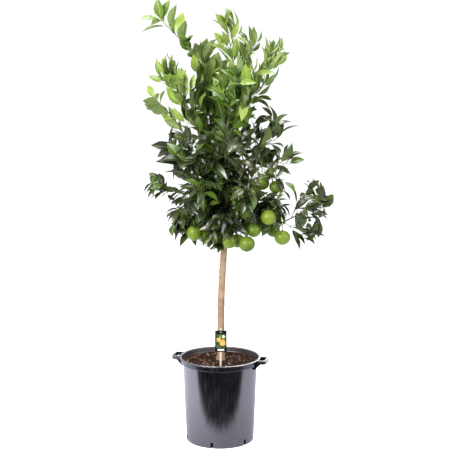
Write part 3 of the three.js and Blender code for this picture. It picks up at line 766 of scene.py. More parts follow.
# Each bough and the mass of leaves it carries, as in the frame's solids: the limb it leaves, how far
# along it, its two radii and its tip, then the mass's far end, radius, leaf length, rise and tone
# (1 is young and light, 0 is old and dark), and what is its own, such as hanging fruit as (x, y, z, radius).
crown = {
    "middle_top": bough("trunk", 1, (9.6, 5.6), (0, 12, 1250), (-22, 30, 1600), 104, 100, 0.5, 0.5),
    "top_right": bough("trunk", 0.97, (8.4, 4.4), (84, 14, 1460), (258, 0, 1744), 88, 84, 0.4, 0.95,
        slender=0.72, spread=0.62),
    "left": bough("trunk", 0.945, (8.2, 5), (-82, -32, 1130), (-252, -78, 1362), 110, 120, -0.2, 0.08,
        open=2.6),
    "right": bough("trunk", 0.925, (8, 5), (100, -8, 1110), (272, -20, 1448), 118, 94, 0.3, 0.16, open=3,
        fruit=[(178, -112, 1143, 30)]),
    "right_outer": bough("right", 0.7, (5, 4), (180, -44, 1160), (340, -40, 1316), 72, 86, 0.1, 0.1,
        open=1.7, fruit=[(236, -104, 1126, 28)]),
    "top_left": bough("middle_top", 0.6, (5.6, 3.6), (-58, 6, 1560), (-298, -20, 1893), 88, 100, 0.3, 1,
        single=True, side=(0.6, -0.3, 0.74), seed=46, slender=1.08, size=1.2, shade=2),
    "top_middle": bough("middle_top", 0.8, (4.8, 3.4), (-34, 42, 1450), (-66, 24, 1752), 96, 106, 0.5, 0.9),
    "back_top": bough("middle_top", 0.52, (5, 4), (8, 98, 1320), (20, 225, 1650), 112, 102, 0.4, 0.65),
    "front_top": bough("middle_top", 0.4, (5.4, 4.2), (26, -92, 1315), (78, -172, 1640), 108, 108, 0.4, 0.65),
    "back": bough("middle_top", 0.28, (5.4, 4.2), (6, 100, 1120), (0, 290, 1390), 124, 96, -0.2, 0.15),
    "front": bough("middle_top", 0.18, (5.6, 4.4), (-4, -74, 1130), (-24, -244, 1386), 120, 102, -0.3, 0.22,
        open=1.6),
    "left_top": bough("left", 0.7, (5, 3.6), (-86, -50, 1320), (-240, -92, 1664), 104, 98, 0.3, 0.85,
        slender=0.86, spread=0.7),
    "left_tip": bough("left", 0.84, (4.2, 3.2), (-140, -8, 1310), (-322, -46, 1560), 68, 92, 0.3, 0.9,
        open=0.9, single=True),
    "back_left": bough("left", 0.42, (5, 4.2), (-66, 84, 1110), (-212, 245, 1340), 124, 100, -0.2, 0.15,
        open=1.6),
    "right_tip": bough("top_right", 0.8, (4.4, 3.4), (72, -26, 1500), (20, -46, 1860), 90, 88, 0.5, 1,
        slender=0.72, spread=0.68),
    "top_fan": bough("top_right", 0.9, (4.2, 3.4), (104, 26, 1540), (140, 6, 1800), 82, 84, 0.4, 1,
        slender=0.72, spread=0.62),
    "back_right": bough("right", 0.5, (5, 4.2), (88, 84, 1105), (224, 255, 1340), 124, 100, -0.2, 0.15,
        open=1.8),
    "front_left": bough("trunk", 0.96, (5.4, 4), (-24, -44, 1040), (-116, -240, 1106), 122, 84, -0.6, 0.17),
    "front_right": bough("trunk", 0.955, (5.4, 4), (54, -44, 1045), (134, -240, 1100), 122, 84, -0.6, 0.17),
    "front_low": bough("trunk", 0.905, (5.6, 4.2), (14, -40, 965), (8, -262, 985), 116, 86, -0.6, 0.17,
        fruit=[(40, -196, 910, 31.5), (74, -142, 903, 30), (112, -206, 899, 33.5)]),
    "left_low": bough("trunk", 0.885, (5.6, 4), (-34, -26, 975), (-205, -140, 1012), 116, 86, -0.5, 0.1,
        fruit=[(-106, -156, 938, 32.5), (-72, -104, 926, 29.5)]),
    "left_spray": bough("left_low", 0.6, (4, 2.9), (-92, -24, 1050), (-324, -108, 1160), 72, 78, 0.1, 0.3,
        open=1.25),
    "right_low": bough("trunk", 0.87, (6.4, 4.2), (86, -40, 985), (276, -140, 1070), 116, 88, -0.4, 0.12,
        open=0.84,
        fruit=[(142, -146, 948, 30), (202, -166, 1005, 32.5), (262, -136, 916, 33), (226, -84, 940, 29.5)]),
    "right_spray": bough("right_low", 0.62, (5, 3.6), (262, -24, 962), (484, -40, 1080), 136, 92, 0.2, 0.12,
        open=1.6, spread=0.85, size=1.12, seed=54),
    "back_low_left": bough("trunk", 0.895, (5.4, 4.2), (-24, 50, 975), (-180, 225, 1030), 118, 92, -0.6, 0.1,
        fruit=[(-92, 176, 916, 32), (-150, 118, 930, 30)]),
    "back_low_right": bough("trunk", 0.915, (5.4, 4.2), (56, 54, 975), (212, 232, 1030), 118, 92, -0.6, 0.1,
        fruit=[(120, 186, 912, 32)]),
}


def trunkRadiusAt(share, length):
    height = share * length
    taper = wood["trunkRadius"] + (wood["forkRadius"] - wood["trunkRadius"]) * share ** 1.6
    root = wood["flare"] * math.exp(-height / wood["flareHeight"])
    graft = wood["graftSwell"] * math.exp(-(((height - wood["graftHeight"]) / wood["graftLength"]) ** 2))
    return taper + root + graft


def boughLine(start, tip):
    chord = tip - start
    flat = np.array([chord[0], chord[1], 0])
    middle = start + chord * 0.5 + flat * wood["boughBelly"]
    middle[2] -= wood["boughSag"] * np.linalg.norm(flat)
    return bent(start, middle, tip)


def layLimbs():
    bends = [np.array(spot, float) for spot in (wood["trunkFoot"], *wood["trunkBends"])]
    trunkLine = evenly(throughPoints(bends), 64)
    length = lineLength(trunkLine)
    laid = {"trunk": {"line": trunkLine, "radiusAt": lambda share: trunkRadiusAt(share, length)}}
    for name, facts in crown.items():
        start, _ = alongLine(laid[facts["from"]]["line"], min(facts["at"], wood["boughTop"]))
        thick, thin = facts["radii"]
        laid[name] = {
            "line": boughLine(start, np.array(facts["tip"], float)),
            "radiusAt": lambda share, thick=thick, thin=thin: thick + (thin - thick) * share,
        }
    return laid


def tube(line, radii, sides, swell=None):
    # rings about a line with a cap at each end; swell(share, angle, spot) adds to the radius
    side = unit(np.cross(line[1] - line[0], [0.31, 0.83, 0.47]))
    verts = []
    for i, here in enumerate(line):
        axis = unit(line[min(i + 1, len(line) - 1)] - line[max(i - 1, 0)])
        side = unit(side - axis * side.dot(axis))
        other = np.cross(axis, side)
        for k in range(sides):
            angle = 2 * math.pi * k / sides
            out = math.cos(angle) * side + math.sin(angle) * other
            radius = radii[i]
            if swell:
                radius += swell(i / (len(line) - 1), angle, here + out * radius)
            verts.append(here + out * radius)
    faces = [list(range(sides))[::-1]]
    for i in range(len(line) - 1):
        for k in range(sides):
            a = i * sides + k
            b = i * sides + (k + 1) % sides
            faces.append([a, b, b + sides, a + sides])
    faces.append([(len(line) - 1) * sides + k for k in range(sides)])
    return np.array(verts), faces


def trunkSwell(share, angle, spot):
    lumps = 0.7 * noise.noise(Vector(spot) * 0.02) + 0.3 * noise.noise(Vector(spot) * 0.09)
    grain = 0.28 * noise.noise(Vector((spot[0] * 0.5, spot[1] * 0.5, spot[2] * 0.05)))
    knots = 0
    for height, around, size in wood["knots"]:
        beside = math.remainder(angle - around, 2 * math.pi) / 0.5
        knots += size * math.exp(-(((share - height) / 0.012) ** 2) - beside ** 2)
    ribs = 1.6 * math.exp(-share * 26) * math.sin(angle * 4 + 0.6)  # of the root flare
    return lumps + grain + knots + ribs


def boughSwell(share, angle, spot):
    return 0.4 * noise.noise(Vector(spot) * 0.05) + 0.16 * noise.noise(Vector(spot) * 0.3)


def makeBark():
    gathered = Gathered()
    for name, limb in limbs.items():
        onTrunk = name == "trunk"
        rings = max(6, round(lineLength(limb["line"]) / wood["trunkStep" if onTrunk else "boughStep"]))
        line = evenly(limb["line"], rings)
        radii = [limb["radiusAt"](i / rings) for i in range(rings + 1)]
        if onTrunk:
            radii[-1] *= 0.8
            gathered.add(*tube(line, radii, wood["trunkSides"], trunkSwell), 0)
            continue
        # a bough swells to a collar where it leaves its limb
        facts = crown[name]
        parentRadius = limbs[facts["from"]]["radiusAt"](min(facts["at"], 1))
        for i in range(rings + 1):
            past = max(0, i / rings * lineLength(line) - parentRadius)
            radii[i] *= 1 + wood["collar"] * math.exp(-past / wood["collarLength"])
        gathered.add(*tube(line, radii, wood["boughSides"], boughSwell), 1 if facts["from"] == "trunk" else 2)
    piece = gathered.piece("barkedWood")
    smoothed(piece, 60)
    barks = []
    for part in ("stem", "low", "high"):
        light, dark = wood[f"{part}Light"], wood[f"{part}Dark"]
        bark = newMaterial(f"{part}Bark", light, 0.8)
        color, _ = addMottle(bark, light, dark, 26, 0.22, 0.58)
        grainMask = addRelief(bark, 420, 0.0009, stretch=0.16, strength=0.55, rough=(0.7, 0.92))
        shade = ranged(bark.node_tree, grainMask, 0.35, 0.6, 0.35, 0)
        feed(bark, Base_Color=mixed(bark.node_tree, shade, color, paint(dark)))
        barks.append(bark)
    mount(piece, "barkedWood", ["trunk"] + [f"bough_{name}" for name in crown], barks)


# The growth rule: twigs, finer twigs and leaves, each kept inside its mass's space

growth = {
    # a mass's space about the line from its root to its end, and the gaps kept in it
    "spaceMiddle": 0.46, "spaceHalf": 0.56, "edge": 1.16, "boxSpare": 4,
    "massGap": 3, "limbGap": 2.5, "fruitGap": 2.0, "trialStep": 6,
    # its stem, its twigs and their finer twigs
    "stemTip": 1.5, "stemEnd": 0.9, "stemBow": 0.28, "stemRings": 14,
    "twigRadius": 1.7, "twigTip": 0.9, "twigBow": 0.14, "fineRadius": 1.1, "fineTip": 0.7, "fineBow": 0.1,
    "firstTwig": 14, "lastTwig": 8, "twigGap": 0.24, "tipRoom": 0.6, "longestTwig": 120, "shortestTwig": 18,
    "fineShares": (0.3, 0.52, 0.74), "fineSplay": 0.8, "finesFrom": 38, "longestFine": 62, "shortestFine": 12,
    # how leaves are set, and how often one that finds no room is tried anew
    "stemLeafGap": 0.13, "leafGap": 0.17, "stemSplay": 0.75, "twigSplay": 0.85, "endSplay": 0.4,
    "leafTries": 9, "trySplay": 0.06, "tryShrink": 0.04, "sidedTo": 0.86, "sidedBy": 0.25,
    "leafShare": 1.18, "leafLeast": 0.8, "leafMore": 0.32, "hugging": 0.4, "riseShare": 0.6,
    "mostApart": 1.15,
    # pairs for old and for young growth
    "ages": (0.3, 0.9), "leafApart": (6.2, 8.5), "loose": (1, 1.25), "facing": (0.5, 0.9),
    "flat": (0.75, 0.35), "swing": (1.2, 2.3),
    # a leaf's tone follows its mass, its age on the stem and chance
    "ageTone": 0.35, "middleAge": 0.55, "chanceTone": 0.22, "freshFrom": 0.88, "freshTone": 0.32,
    "freshest": 0.7, "youngFrom": 0.72, "middlingFrom": 0.42,
    # shoots on bare limbs; their leaf and rise are a base and what tone adds
    "shootLimbs": ["middle_top", "top_right", "left", "right", "front", "front_top", "back", "left_top",
                   "top_left", "top_middle", "right_tip", "top_fan", "back_left", "back_right"],
    "shootFirst": 24, "shootLast": 4, "shootGap": 17, "shootReach": (28, 80), "shootRoom": 30,
    "shootHeights": (1180, 1480), "shootTones": (0.1, 0.75), "shootLeaf": (82, 16), "shootRise": (-0.2, 0.6),
    "shootOpen": 1.05, "shootSplay": 1.1, "shootLeafGap": 15, "shootSeed": 97,
    # twigs that half hide some fruit, and the stalks that all fruit hangs from
    "veils": [("right", 0.86, (172, -162, 1196)), ("right_outer", 0.8, (232, -148, 1168)),
              ("right_outer", 0.95, (264, -150, 1150))],
    "veilMass": {"tone": 0.3, "leaf": 84, "rise": -0.5, "open": 0.8},
    "veilArch": 24, "veilTurn": 2.1, "veilLeafGap": 20, "veilAge": 0.5, "veilSeed": 31,
    "stalkRise": 50, "stalkOver": 26, "stalkRadius": 2.1, "stalkTip": 1.7,
}


def layMasses():
    laid = []
    for index, (name, facts) in enumerate(crown.items()):
        root = np.array(facts["tip"], float)
        end = np.array(facts["end"], float)
        axis = end - root
        laid.append({
            **facts, "name": name, "index": index, "root": root, "end": end,
            "middle": root + axis * growth["spaceMiddle"], "half": np.linalg.norm(axis) * growth["spaceHalf"],
            "axis": unit(axis), "fruit": [np.array(fruit, float) for fruit in facts.get("fruit", [])],
        })
    return laid


limbs = layLimbs()
masses = layMasses()
massRoots = np.array([mass["root"] for mass in masses])
massEnds = np.array([mass["end"] for mass in masses])
massRadii = np.array([mass["radius"] for mass in masses], float)
fruits = np.array([fruit for mass in masses for fruit in mass["fruit"]])
stretchStarts = np.concatenate([limb["line"][:-1:2] for limb in limbs.values()])
stretchEnds = np.concatenate([limb["line"][2::2] for limb in limbs.values()])
stretchRadii = np.concatenate([
    [limb["radiusAt"](i / len(limb["line"])) for i in range(0, len(limb["line"]) - 1, 2)]
    for limb in limbs.values()
])
boxLow = np.array(cadBox[0]) / mm - growth["boxSpare"]
boxHigh = np.array(cadBox[1]) / mm + growth["boxSpare"]


def isClear(points):
    clearOfLimbs = (distances(points, stretchStarts, stretchEnds) > stretchRadii + growth["limbGap"]).all(1)
    toFruit = np.linalg.norm(points[:, None] - fruits[:, :3], axis=2)
    clearOfFruit = (toFruit > fruits[:, 3] + growth["fruitGap"]).all(1)
    inBox = ((points > boxLow) & (points < boxHigh)).all(1)
    return clearOfLimbs & clearOfFruit & inBox


def staysIn(mass, points):
    off = points - mass["middle"]
    along = off @ mass["axis"]
    across = np.sqrt(np.maximum(0, (off * off).sum(1) - along ** 2))
    inside = (along / mass["half"]) ** 4 + (across / mass["radius"]) ** 2 <= growth["edge"]
    near = distances(points, massRoots, massEnds) / massRadii
    own = near[:, mass["index"]]
    apart = (near - own[:, None]) * np.minimum(mass["radius"], massRadii)
    apart[:, mass["index"]] = growth["massGap"] + 1
    nearest = (apart > growth["massGap"]).all(1)
    return inside & nearest & isClear(points)


def roomAlong(mass, start, direction):
    steps = np.arange(2 * growth["trialStep"], 2 * growth["longestTwig"], growth["trialStep"])
    free = staysIn(mass, start + direction * steps[:, None])
    return float(steps[-1] if free.all() else steps[np.argmin(free)])


def stemLine(mass):
    _, heading = alongLine(limbs[mass["name"]]["line"], 1)
    start = mass["root"]
    end = mass["end"] - mass["axis"] * mass["leaf"] * growth["stemEnd"]
    ahead = start + heading * np.linalg.norm(end - start) * growth["stemBow"]
    return bent(start, ahead, end)


def leafFrom(mass, base, axis, turn, splay, following):
    along = leaning(axis, turn, splay)
    outward = unit(np.array([base[0], base[1], 0.001]))
    along = along - outward * along.dot(outward) * growth["hugging"] * following()
    along[2] += mass["rise"] * growth["riseShare"] + (following() - 0.5) * 0.3
    along = unit(along)
    # old leaves lie flat with their tips down, young ones stand and face out
    facing, flat, swing = byAge(mass, "facing"), byAge(mass, "flat"), byAge(mass, "swing")
    normal = turnAbout(up, swing * (following() - 0.5)) @ outward * facing
    normal = normal + np.array([following() - 0.5, following() - 0.5, flat + 0.7 * (following() - 0.5)])
    normal = unit(normal - along * normal.dot(along))
    length = mass["leaf"] * growth["leafShare"] * (growth["leafLeast"] + growth["leafMore"] * following())
    return {"base": base, "along": along, "normal": normal, "length": length}


# where a leaf's clearances are tried: shares along it, across it and below its plane
leafTrials = np.array([(0.3, 0, 0), (0.6, 0, -0.05), (1.02, 0, -0.16), (0.3, 0.16, 0), (0.3, -0.16, 0),
                       (0.55, 0.2, -0.03), (0.55, -0.2, -0.03)])


def leafPoints(leaf):
    side = np.cross(leaf["along"], leaf["normal"])
    basis = np.stack([leaf["along"], side, leaf["normal"]])
    return leaf["base"] + leaf["length"] * (leafTrials @ basis)


grown = {"leaves": [], "twigs": Gathered(), "taken": np.zeros((60000, 3)), "used": 0}


def byAge(mass, key):
    # young growth is open and old growth dense
    return float(np.interp(mass["tone"], growth["ages"], growth[key]))


def leafIsFree(mass, points):
    taken = grown["taken"][:grown["used"]]
    if len(taken) == 0:
        return True
    gaps = ((points[:, None] - taken) ** 2).sum(2)
    return gaps.min() > (byAge(mass, "leafApart") * min(mass.get("open", 1), growth["mostApart"])) ** 2


def tryLeaf(mass, site, following, holds=staysIn):
    spin = site["turn"]
    for tries in range(growth["leafTries"]):
        splay = (site["splay"] + growth["trySplay"] * tries) * mass.get("spread", 1)
        leaf = leafFrom(mass, site["base"], site["axis"], spin, splay, following)
        spin += goldenAngle
        sided = "side" in mass and site["age"] < growth["sidedTo"]
        if sided and leaf["along"].dot(mass["side"]) < growth["sidedBy"]:
            continue
        leaf["length"] *= site["size"] * (1 - growth["tryShrink"] * tries)
        points = leafPoints(leaf)
        if holds(mass, points).all() and leafIsFree(mass, points):
            grown["taken"][grown["used"]:grown["used"] + len(points)] = points
            grown["used"] += len(points)
            leaf.update(mass=mass, spray=site["spray"], age=site["age"], pick=following())
            grown["leaves"].append(leaf)
            return


def taper(count, thick, thin):
    return [thick + (thin - thick) * i / count for i in range(count + 1)]


def growTwig(base, out, reach, following, size):
    # size is "twig" or "fine"
    tip = base + out * reach
    middle = base + out * reach * 0.5 + up * growth[f"{size}Bow"] * reach * (following() - 0.2)
    line = bent(base, middle, tip, 4)
    grown["twigs"].add(*tube(line, taper(4, growth[f"{size}Radius"], growth[f"{size}Tip"]), 4), kind=1)
    return line


def siteAt(base, axis, turn, splay, spray, age, size=1):
    return {"base": base, "axis": axis, "turn": turn, "splay": splay, "spray": spray, "age": age,
            "size": size}


def leafSites(line, axis, turn, first, gap, spray, age):
    count = max(1, round(lineLength(line) * (1 - first) / gap))
    sites = []
    for i in range(count):
        base, _ = alongLine(line, first + (1 - first) * (i + 0.4) / count * 0.93)
        sites.append(siteAt(base, axis, turn + (i + 1) * goldenAngle, growth["twigSplay"], spray, age,
                            1 - 0.12 * i / count))
    base, _ = alongLine(line, 0.98)
    sites.append(siteAt(base, axis, turn, growth["endSplay"], spray, age, 0.9))
    return sites


def growFines(mass, twig, turn, reach, following, leafStep, spray, age):
    # finer twigs on a long twig
    sites = []
    for k, share in enumerate(growth["fineShares"]):
        spot, heading = alongLine(twig, share)
        out = leaning(heading, turn + (k + 1.5) * goldenAngle, growth["fineSplay"])
        room = roomAlong(mass, spot, out) - mass["leaf"] * growth["tipRoom"]
        fineReach = min(growth["longestFine"], 0.6 * reach, room)
        if fineReach > growth["shortestFine"]:
            fine = growTwig(spot, out, fineReach, following, "fine")
            sites += leafSites(fine, out, turn + k, 0.25, leafStep, spray, age)
    return sites


def growStalks(mass, stem):
    # each fruit hangs from the nearest part of its mass's stem
    for fruit in mass["fruit"]:
        centre, size = fruit[:3], fruit[3]
        above = centre + up * (size + growth["stalkRise"])
        starts = [alongLine(stem, 0.1 + 0.1 * i)[0] for i in range(9)]
        start = min(starts, key=lambda spot: np.linalg.norm(spot - above))
        bend = np.array([centre[0], centre[1], max(start[2] + 4, centre[2] + size + growth["stalkOver"])])
        stalk = bent(start, bend, centre + up * (size * 0.9), 8)
        grown["twigs"].add(*tube(stalk, taper(8, growth["stalkRadius"], growth["stalkTip"]), 6), kind=1)


def growMass(mass):
    following = numberSeries(mass.get("seed", mass["index"] + 1))
    loose = byAge(mass, "loose") * mass.get("open", 1)
    leafStep = mass["leaf"] * growth["leafGap"] * loose
    stem = stemLine(mass)
    stemLength = lineLength(stem)
    thick, rings = limbs[mass["name"]]["radiusAt"](1), growth["stemRings"]
    grown["twigs"].add(*tube(evenly(stem, rings), taper(rings, thick, growth["stemTip"]), 6), kind=0)
    sites = []
    turn = following() * 2 * math.pi
    at = growth["firstTwig"]
    spray = 0
    while at < stemLength - growth["lastTwig"]:
        share = at / stemLength
        base, axis = alongLine(stem, share)
        out = leaning(axis, turn, 1.15 - 0.45 * share + (following() - 0.5) * 0.3)
        out[2] += mass["rise"] * 0.2
        out = unit(out)
        reach = min(growth["longestTwig"], roomAlong(mass, base, out) - mass["leaf"] * growth["tipRoom"])
        if reach < growth["shortestTwig"] or "single" in mass:
            sites.append(siteAt(base, axis, turn, growth["stemSplay"], spray, share))
            at += mass["leaf"] * growth["stemLeafGap"] * loose
        else:
            spray += 1
            twig = growTwig(base, out, reach, following, "twig")
            sites += leafSites(twig, out, turn, 0.2, leafStep, spray, share)
            if reach > growth["finesFrom"]:
                sites += growFines(mass, twig, turn, reach, following, leafStep, spray, share)
            at += mass["leaf"] * growth["twigGap"] * loose
        turn += goldenAngle
    tip, heading = alongLine(stem, 0.99)
    sites += [siteAt(tip, heading, turn + k * goldenAngle, 0.22 + 0.2 * k, spray, 1) for k in range(4)]
    for site in sites:
        tryLeaf(mass, site, following)
    growStalks(mass, stem)


def anywhereClear(_, points):
    return isClear(points)


def growShoots():
    # short leafy shoots on the bare limbs between their fork and their mass, darkest in the crown's heart
    following = numberSeries(growth["shootSeed"])
    shortest, longest = growth["shootReach"]
    owners = {mass["name"]: mass for mass in masses}
    for number, name in enumerate(growth["shootLimbs"]):
        line = limbs[name]["line"]
        length = lineLength(line)
        turn = following() * 2 * math.pi
        at = growth["shootFirst"]
        while at < length - growth["shootLast"]:
            base, axis = alongLine(line, at / length)
            tone = float(np.interp(base[2], growth["shootHeights"], growth["shootTones"]))
            leaf, rise = [low + more * tone for low, more in (growth["shootLeaf"], growth["shootRise"])]
            mass = dict(owners[name], tone=tone, leaf=leaf, rise=rise, open=growth["shootOpen"])
            out = leaning(axis, turn, growth["shootSplay"])
            reach = shortest + (longest - shortest) * following()
            if isClear((base + out * (reach + growth["shootRoom"]))[None]).all():
                twig = growTwig(base, out, reach, following, "fine")
                for site in leafSites(twig, out, turn, 0.2, growth["shootLeafGap"], number + round(at),
                                      growth["middleAge"]):
                    tryLeaf(mass, site, following, anywhereClear)
            turn += goldenAngle
            at += growth["shootGap"]


def growVeils():
    # a few leafy twigs in front of the fruit that hang half hidden
    following = numberSeries(growth["veilSeed"])
    owners = {mass["name"]: mass for mass in masses}
    for number, (name, share, tip) in enumerate(growth["veils"]):
        base, _ = alongLine(limbs[name]["line"], share)
        mass = {**owners[name], **growth["veilMass"]}
        middle = (base + np.array(tip)) / 2 + up * growth["veilArch"]
        line = bent(base, middle, np.array(tip, float), 6)
        grown["twigs"].add(*tube(line, taper(6, growth["twigRadius"], growth["twigTip"]), 4), kind=1)
        out = unit(line[-1] - line[-2])
        for site in leafSites(line, out, growth["veilTurn"] * number, 0.5, growth["veilLeafGap"], number,
                              growth["veilAge"]):
            tryLeaf(mass, site, following, anywhereClear)


# Leaves

leafKinds = {
    "young": {
        "tops": ["7d9636", "6e882b", "5f7a26", "8aa043"], "under": "869a5e", "rib": "9cae66",
        "shape": "broad", "roughness": 0.38, "specular": 0.5,
    },
    "middling": {
        "tops": ["405b12", "4c6718", "34490e"], "under": "6a7e45", "rib": "849655",
        "shape": "arched", "roughness": 0.34, "specular": 0.5,
    },
    "mature": {
        "tops": ["19260b", "22330d", "121e08", "2b390f", "3b4215"], "under": "526236", "rib": "5a6b30",
        "shape": "slim", "roughness": 0.28, "specular": 0.75,
    },
}
leafShapes = {
    "broad": {"width": 0.43, "belly": 0.44, "fold": 0.34, "arch": 0.55, "wave": 0.01, "blunt": 1.15},
    "arched": {"width": 0.4, "belly": 0.44, "fold": 0.3, "arch": 0.9, "wave": 0.014, "blunt": 1.1},
    "slim": {"width": 0.41, "belly": 0.46, "fold": 0.3, "arch": 0.75, "wave": 0.012, "blunt": 1.1},
}
leafMake = {
    "columns": 3, "rows": 6, "waves": 9,
    # shares of the leaf's length, of its thickness (the rib's depth) and of its width (the last two)
    "thickness": 0.006, "ribWidth": 0.06, "ribDepth": 2.6,
    "stalk": 0.12, "stalkRadius": 0.009, "length": 0.92, "narrowest": 0.78, "wider": 0.46,
}


def modelLeaf(name, shape):
    # the leaf's length is 1 along Y, its upper side looks up Z, and its stalk runs back from the origin
    leaf = added(bpy.ops.mesh.primitive_grid_add, x_subdivisions=leafMake["columns"],
                 y_subdivisions=leafMake["rows"], size=2)
    editing(leaf, True)
    for end in (-1, 1):
        pick(leaf, "verts", lambda vertex: abs(vertex.co.y - end) < 0.01)
        bpy.ops.mesh.merge(type="CENTER")
    bpy.ops.mesh.select_all(action="SELECT")
    bpy.ops.mesh.duplicate_move(TRANSFORM_OT_translate={"value": (0, 0, -1)})
    bpy.ops.mesh.flip_normals()
    editing(leaf, False)
    for _ in range(4):
        leaf.data.materials.append(None)
    for face in leaf.data.polygons:
        # upper side, underside, rib above, rib below
        onRib = abs(face.center.x) < 0.1
        face.material_index = (2 if onRib else 0) + (face.center.z < -0.5)
    belly, arch = shape["belly"], shape["arch"]
    for vertex in leaf.data.vertices:
        # s runs across the leaf from -1 to 1, and t from its base to its tip
        s, t = vertex.co.x, (vertex.co.y + 1) / 2
        below = vertex.co.z < -0.5
        rib = abs(s) < 0.5
        atEnd = t < 0.01 or t > 0.99
        if t < belly:
            wide = math.sin(math.pi / 2 * max(0, t) / belly) ** 0.85
        else:
            wide = math.cos(math.pi / 2 * (t - belly) / (1 - belly)) ** shape["blunt"]
        across = 0 if atEnd else math.copysign(leafMake["ribWidth"] if rib else 1, s)
        across *= shape["width"] / 2 * wide
        lift = shape["fold"] * abs(across)
        if not rib:
            lift += shape["wave"] * math.sin(leafMake["waves"] * t + 2 * s)
        if below and rib and not atEnd:
            lift -= leafMake["thickness"] * leafMake["ribDepth"] * (1 - t * 0.6)
        bend = arch * t
        drop = (1 - math.cos(bend)) / arch
        vertex.co = (across, math.sin(bend) / arch + lift * math.sin(bend), lift * math.cos(bend) - drop)
    editing(leaf, True)
    bpy.ops.mesh.select_all(action="SELECT")
    bpy.ops.mesh.remove_doubles(threshold=1e-5)
    editing(leaf, False)
    stalk = added(bpy.ops.mesh.primitive_cylinder_add, vertices=4, radius=leafMake["stalkRadius"],
                  depth=leafMake["stalk"] + 0.02, location=(0, 0.01 - leafMake["stalk"] / 2, -0.006),
                  rotation=(math.pi / 2, 0, 0))
    settle(stalk)
    model = Gathered()
    model.add(*cornersAndFaces(leaf), [face.material_index for face in leaf.data.polygons])
    model.add(*cornersAndFaces(stalk), 3)
    bpy.data.objects.remove(leaf)
    bpy.data.objects.remove(stalk)
    print("leaf model", name, "has", len(model.faces), "faces")
    return np.concatenate(model.verts), model.faces, np.array(model.kinds)


def leafKind(leaf):
    byStem = growth["ageTone"] * (leaf["age"] - growth["middleAge"])
    tone = leaf["mass"]["tone"] + byStem + growth["chanceTone"] * (leaf["pick"] - 0.5)
    if leaf["pick"] > growth["freshFrom"]:
        # a few fresher leaves stand among the old
        tone = max(tone, min(tone + growth["freshTone"], growth["freshest"]))
    if tone > growth["youngFrom"]:
        return "young"
    return "middling" if tone > growth["middlingFrom"] else "mature"


def leafMaterials(kind):
    facts = leafKinds[kind]
    rough = facts["roughness"]
    made = []
    for i, code in enumerate(facts["tops"]):
        top = newMaterial(f"{kind}LeafTop{i + 1}", code, rough, Specular_IOR_Level=facts["specular"])
        addRelief(top, 160, 0.0005, strength=0.2, rough=(rough - 0.06, rough + 0.1))
        made.append(top)
    under = newMaterial(f"{kind}LeafUnder", facts["under"], 0.6, Specular_IOR_Level=0.25)
    addRelief(under, 200, 0.0004, strength=0.2, rough=(0.52, 0.68))
    rib = newMaterial(f"{kind}LeafRib", facts["rib"], 0.5)
    addRelief(rib, 300, 0.0004, strength=0.3, rough=(0.42, 0.58))
    return made + [under, rib]


def makeLeaves():
    models = {name: modelLeaf(name, shape) for name, shape in leafShapes.items()}
    for kind, facts in leafKinds.items():
        corners, faces, parts = models[facts["shape"]]
        shades = len(facts["tops"])
        leaves = [leaf for leaf in grown["leaves"] if leafKind(leaf) == kind]
        gathered = Gathered()
        for leaf in leaves:
            mass, along, normal = leaf["mass"], leaf["along"], leaf["normal"]
            basis = np.stack([np.cross(along, normal), along, normal])
            base = leaf["base"] + along * leafMake["stalk"] * leaf["length"] * 0.9
            width = (leafMake["narrowest"] + leafMake["wider"] * leaf["pick"]) * mass.get("slender", 1)
            length = leaf["length"] * leafMake["length"] * mass.get("size", 1)
            shade = (leaf["spray"] * 7 + mass.get("shade", mass["index"] * 3) + (leaf["pick"] > 0.8)) % shades
            # the top, the underside, and the rib on both sides
            colors = np.array([shade, shades, shades + 1, shades + 1])
            gathered.add(base + length * ((corners * [width, 1, 1]) @ basis), faces, colors[parts])
        piece = gathered.piece(f"{kind}Leaves")
        smoothed(piece, 70)
        nodes = [f"foliage_{mass['name']}" for mass in masses
                 if leafKind({"mass": mass, "age": growth["middleAge"], "pick": 0.5}) == kind]
        mount(piece, f"{kind}Leaves", nodes, leafMaterials(kind))
        print(kind, "leaves:", len(leaves))


def makeTwigs():
    barks = []
    for name, color, rough, light, dark in (("twigBark", "5e6138", 0.65, "6b6c40", "443a28"),
                                            ("greenShoot", "6f8a3f", 0.55, "647c3a", "42582a")):
        bark = newMaterial(name, color, rough)
        feed(bark, Base_Color=addMottle(bark, light, dark, 60, 0.3, 0.6)[0])
        addRelief(bark, 500, 0.0004, stretch=0.3, strength=0.4)
        barks.append(bark)
    mount(grown["twigs"].piece("twigs"), "twigs", (), barks)


# Fruit

orange = {
    "columns": 28, "rows": 18, "squash": 0.965, "dimple": 0.07, "navel": 0.02,
    "starNotch": 0.52, "pores": 620.0,
    "skins": [("6c8322", "526a18"), ("62791f", "496114"), ("778c28", "5c721c")], "pore": "98a84c",
    "calyx": "47592a",
}


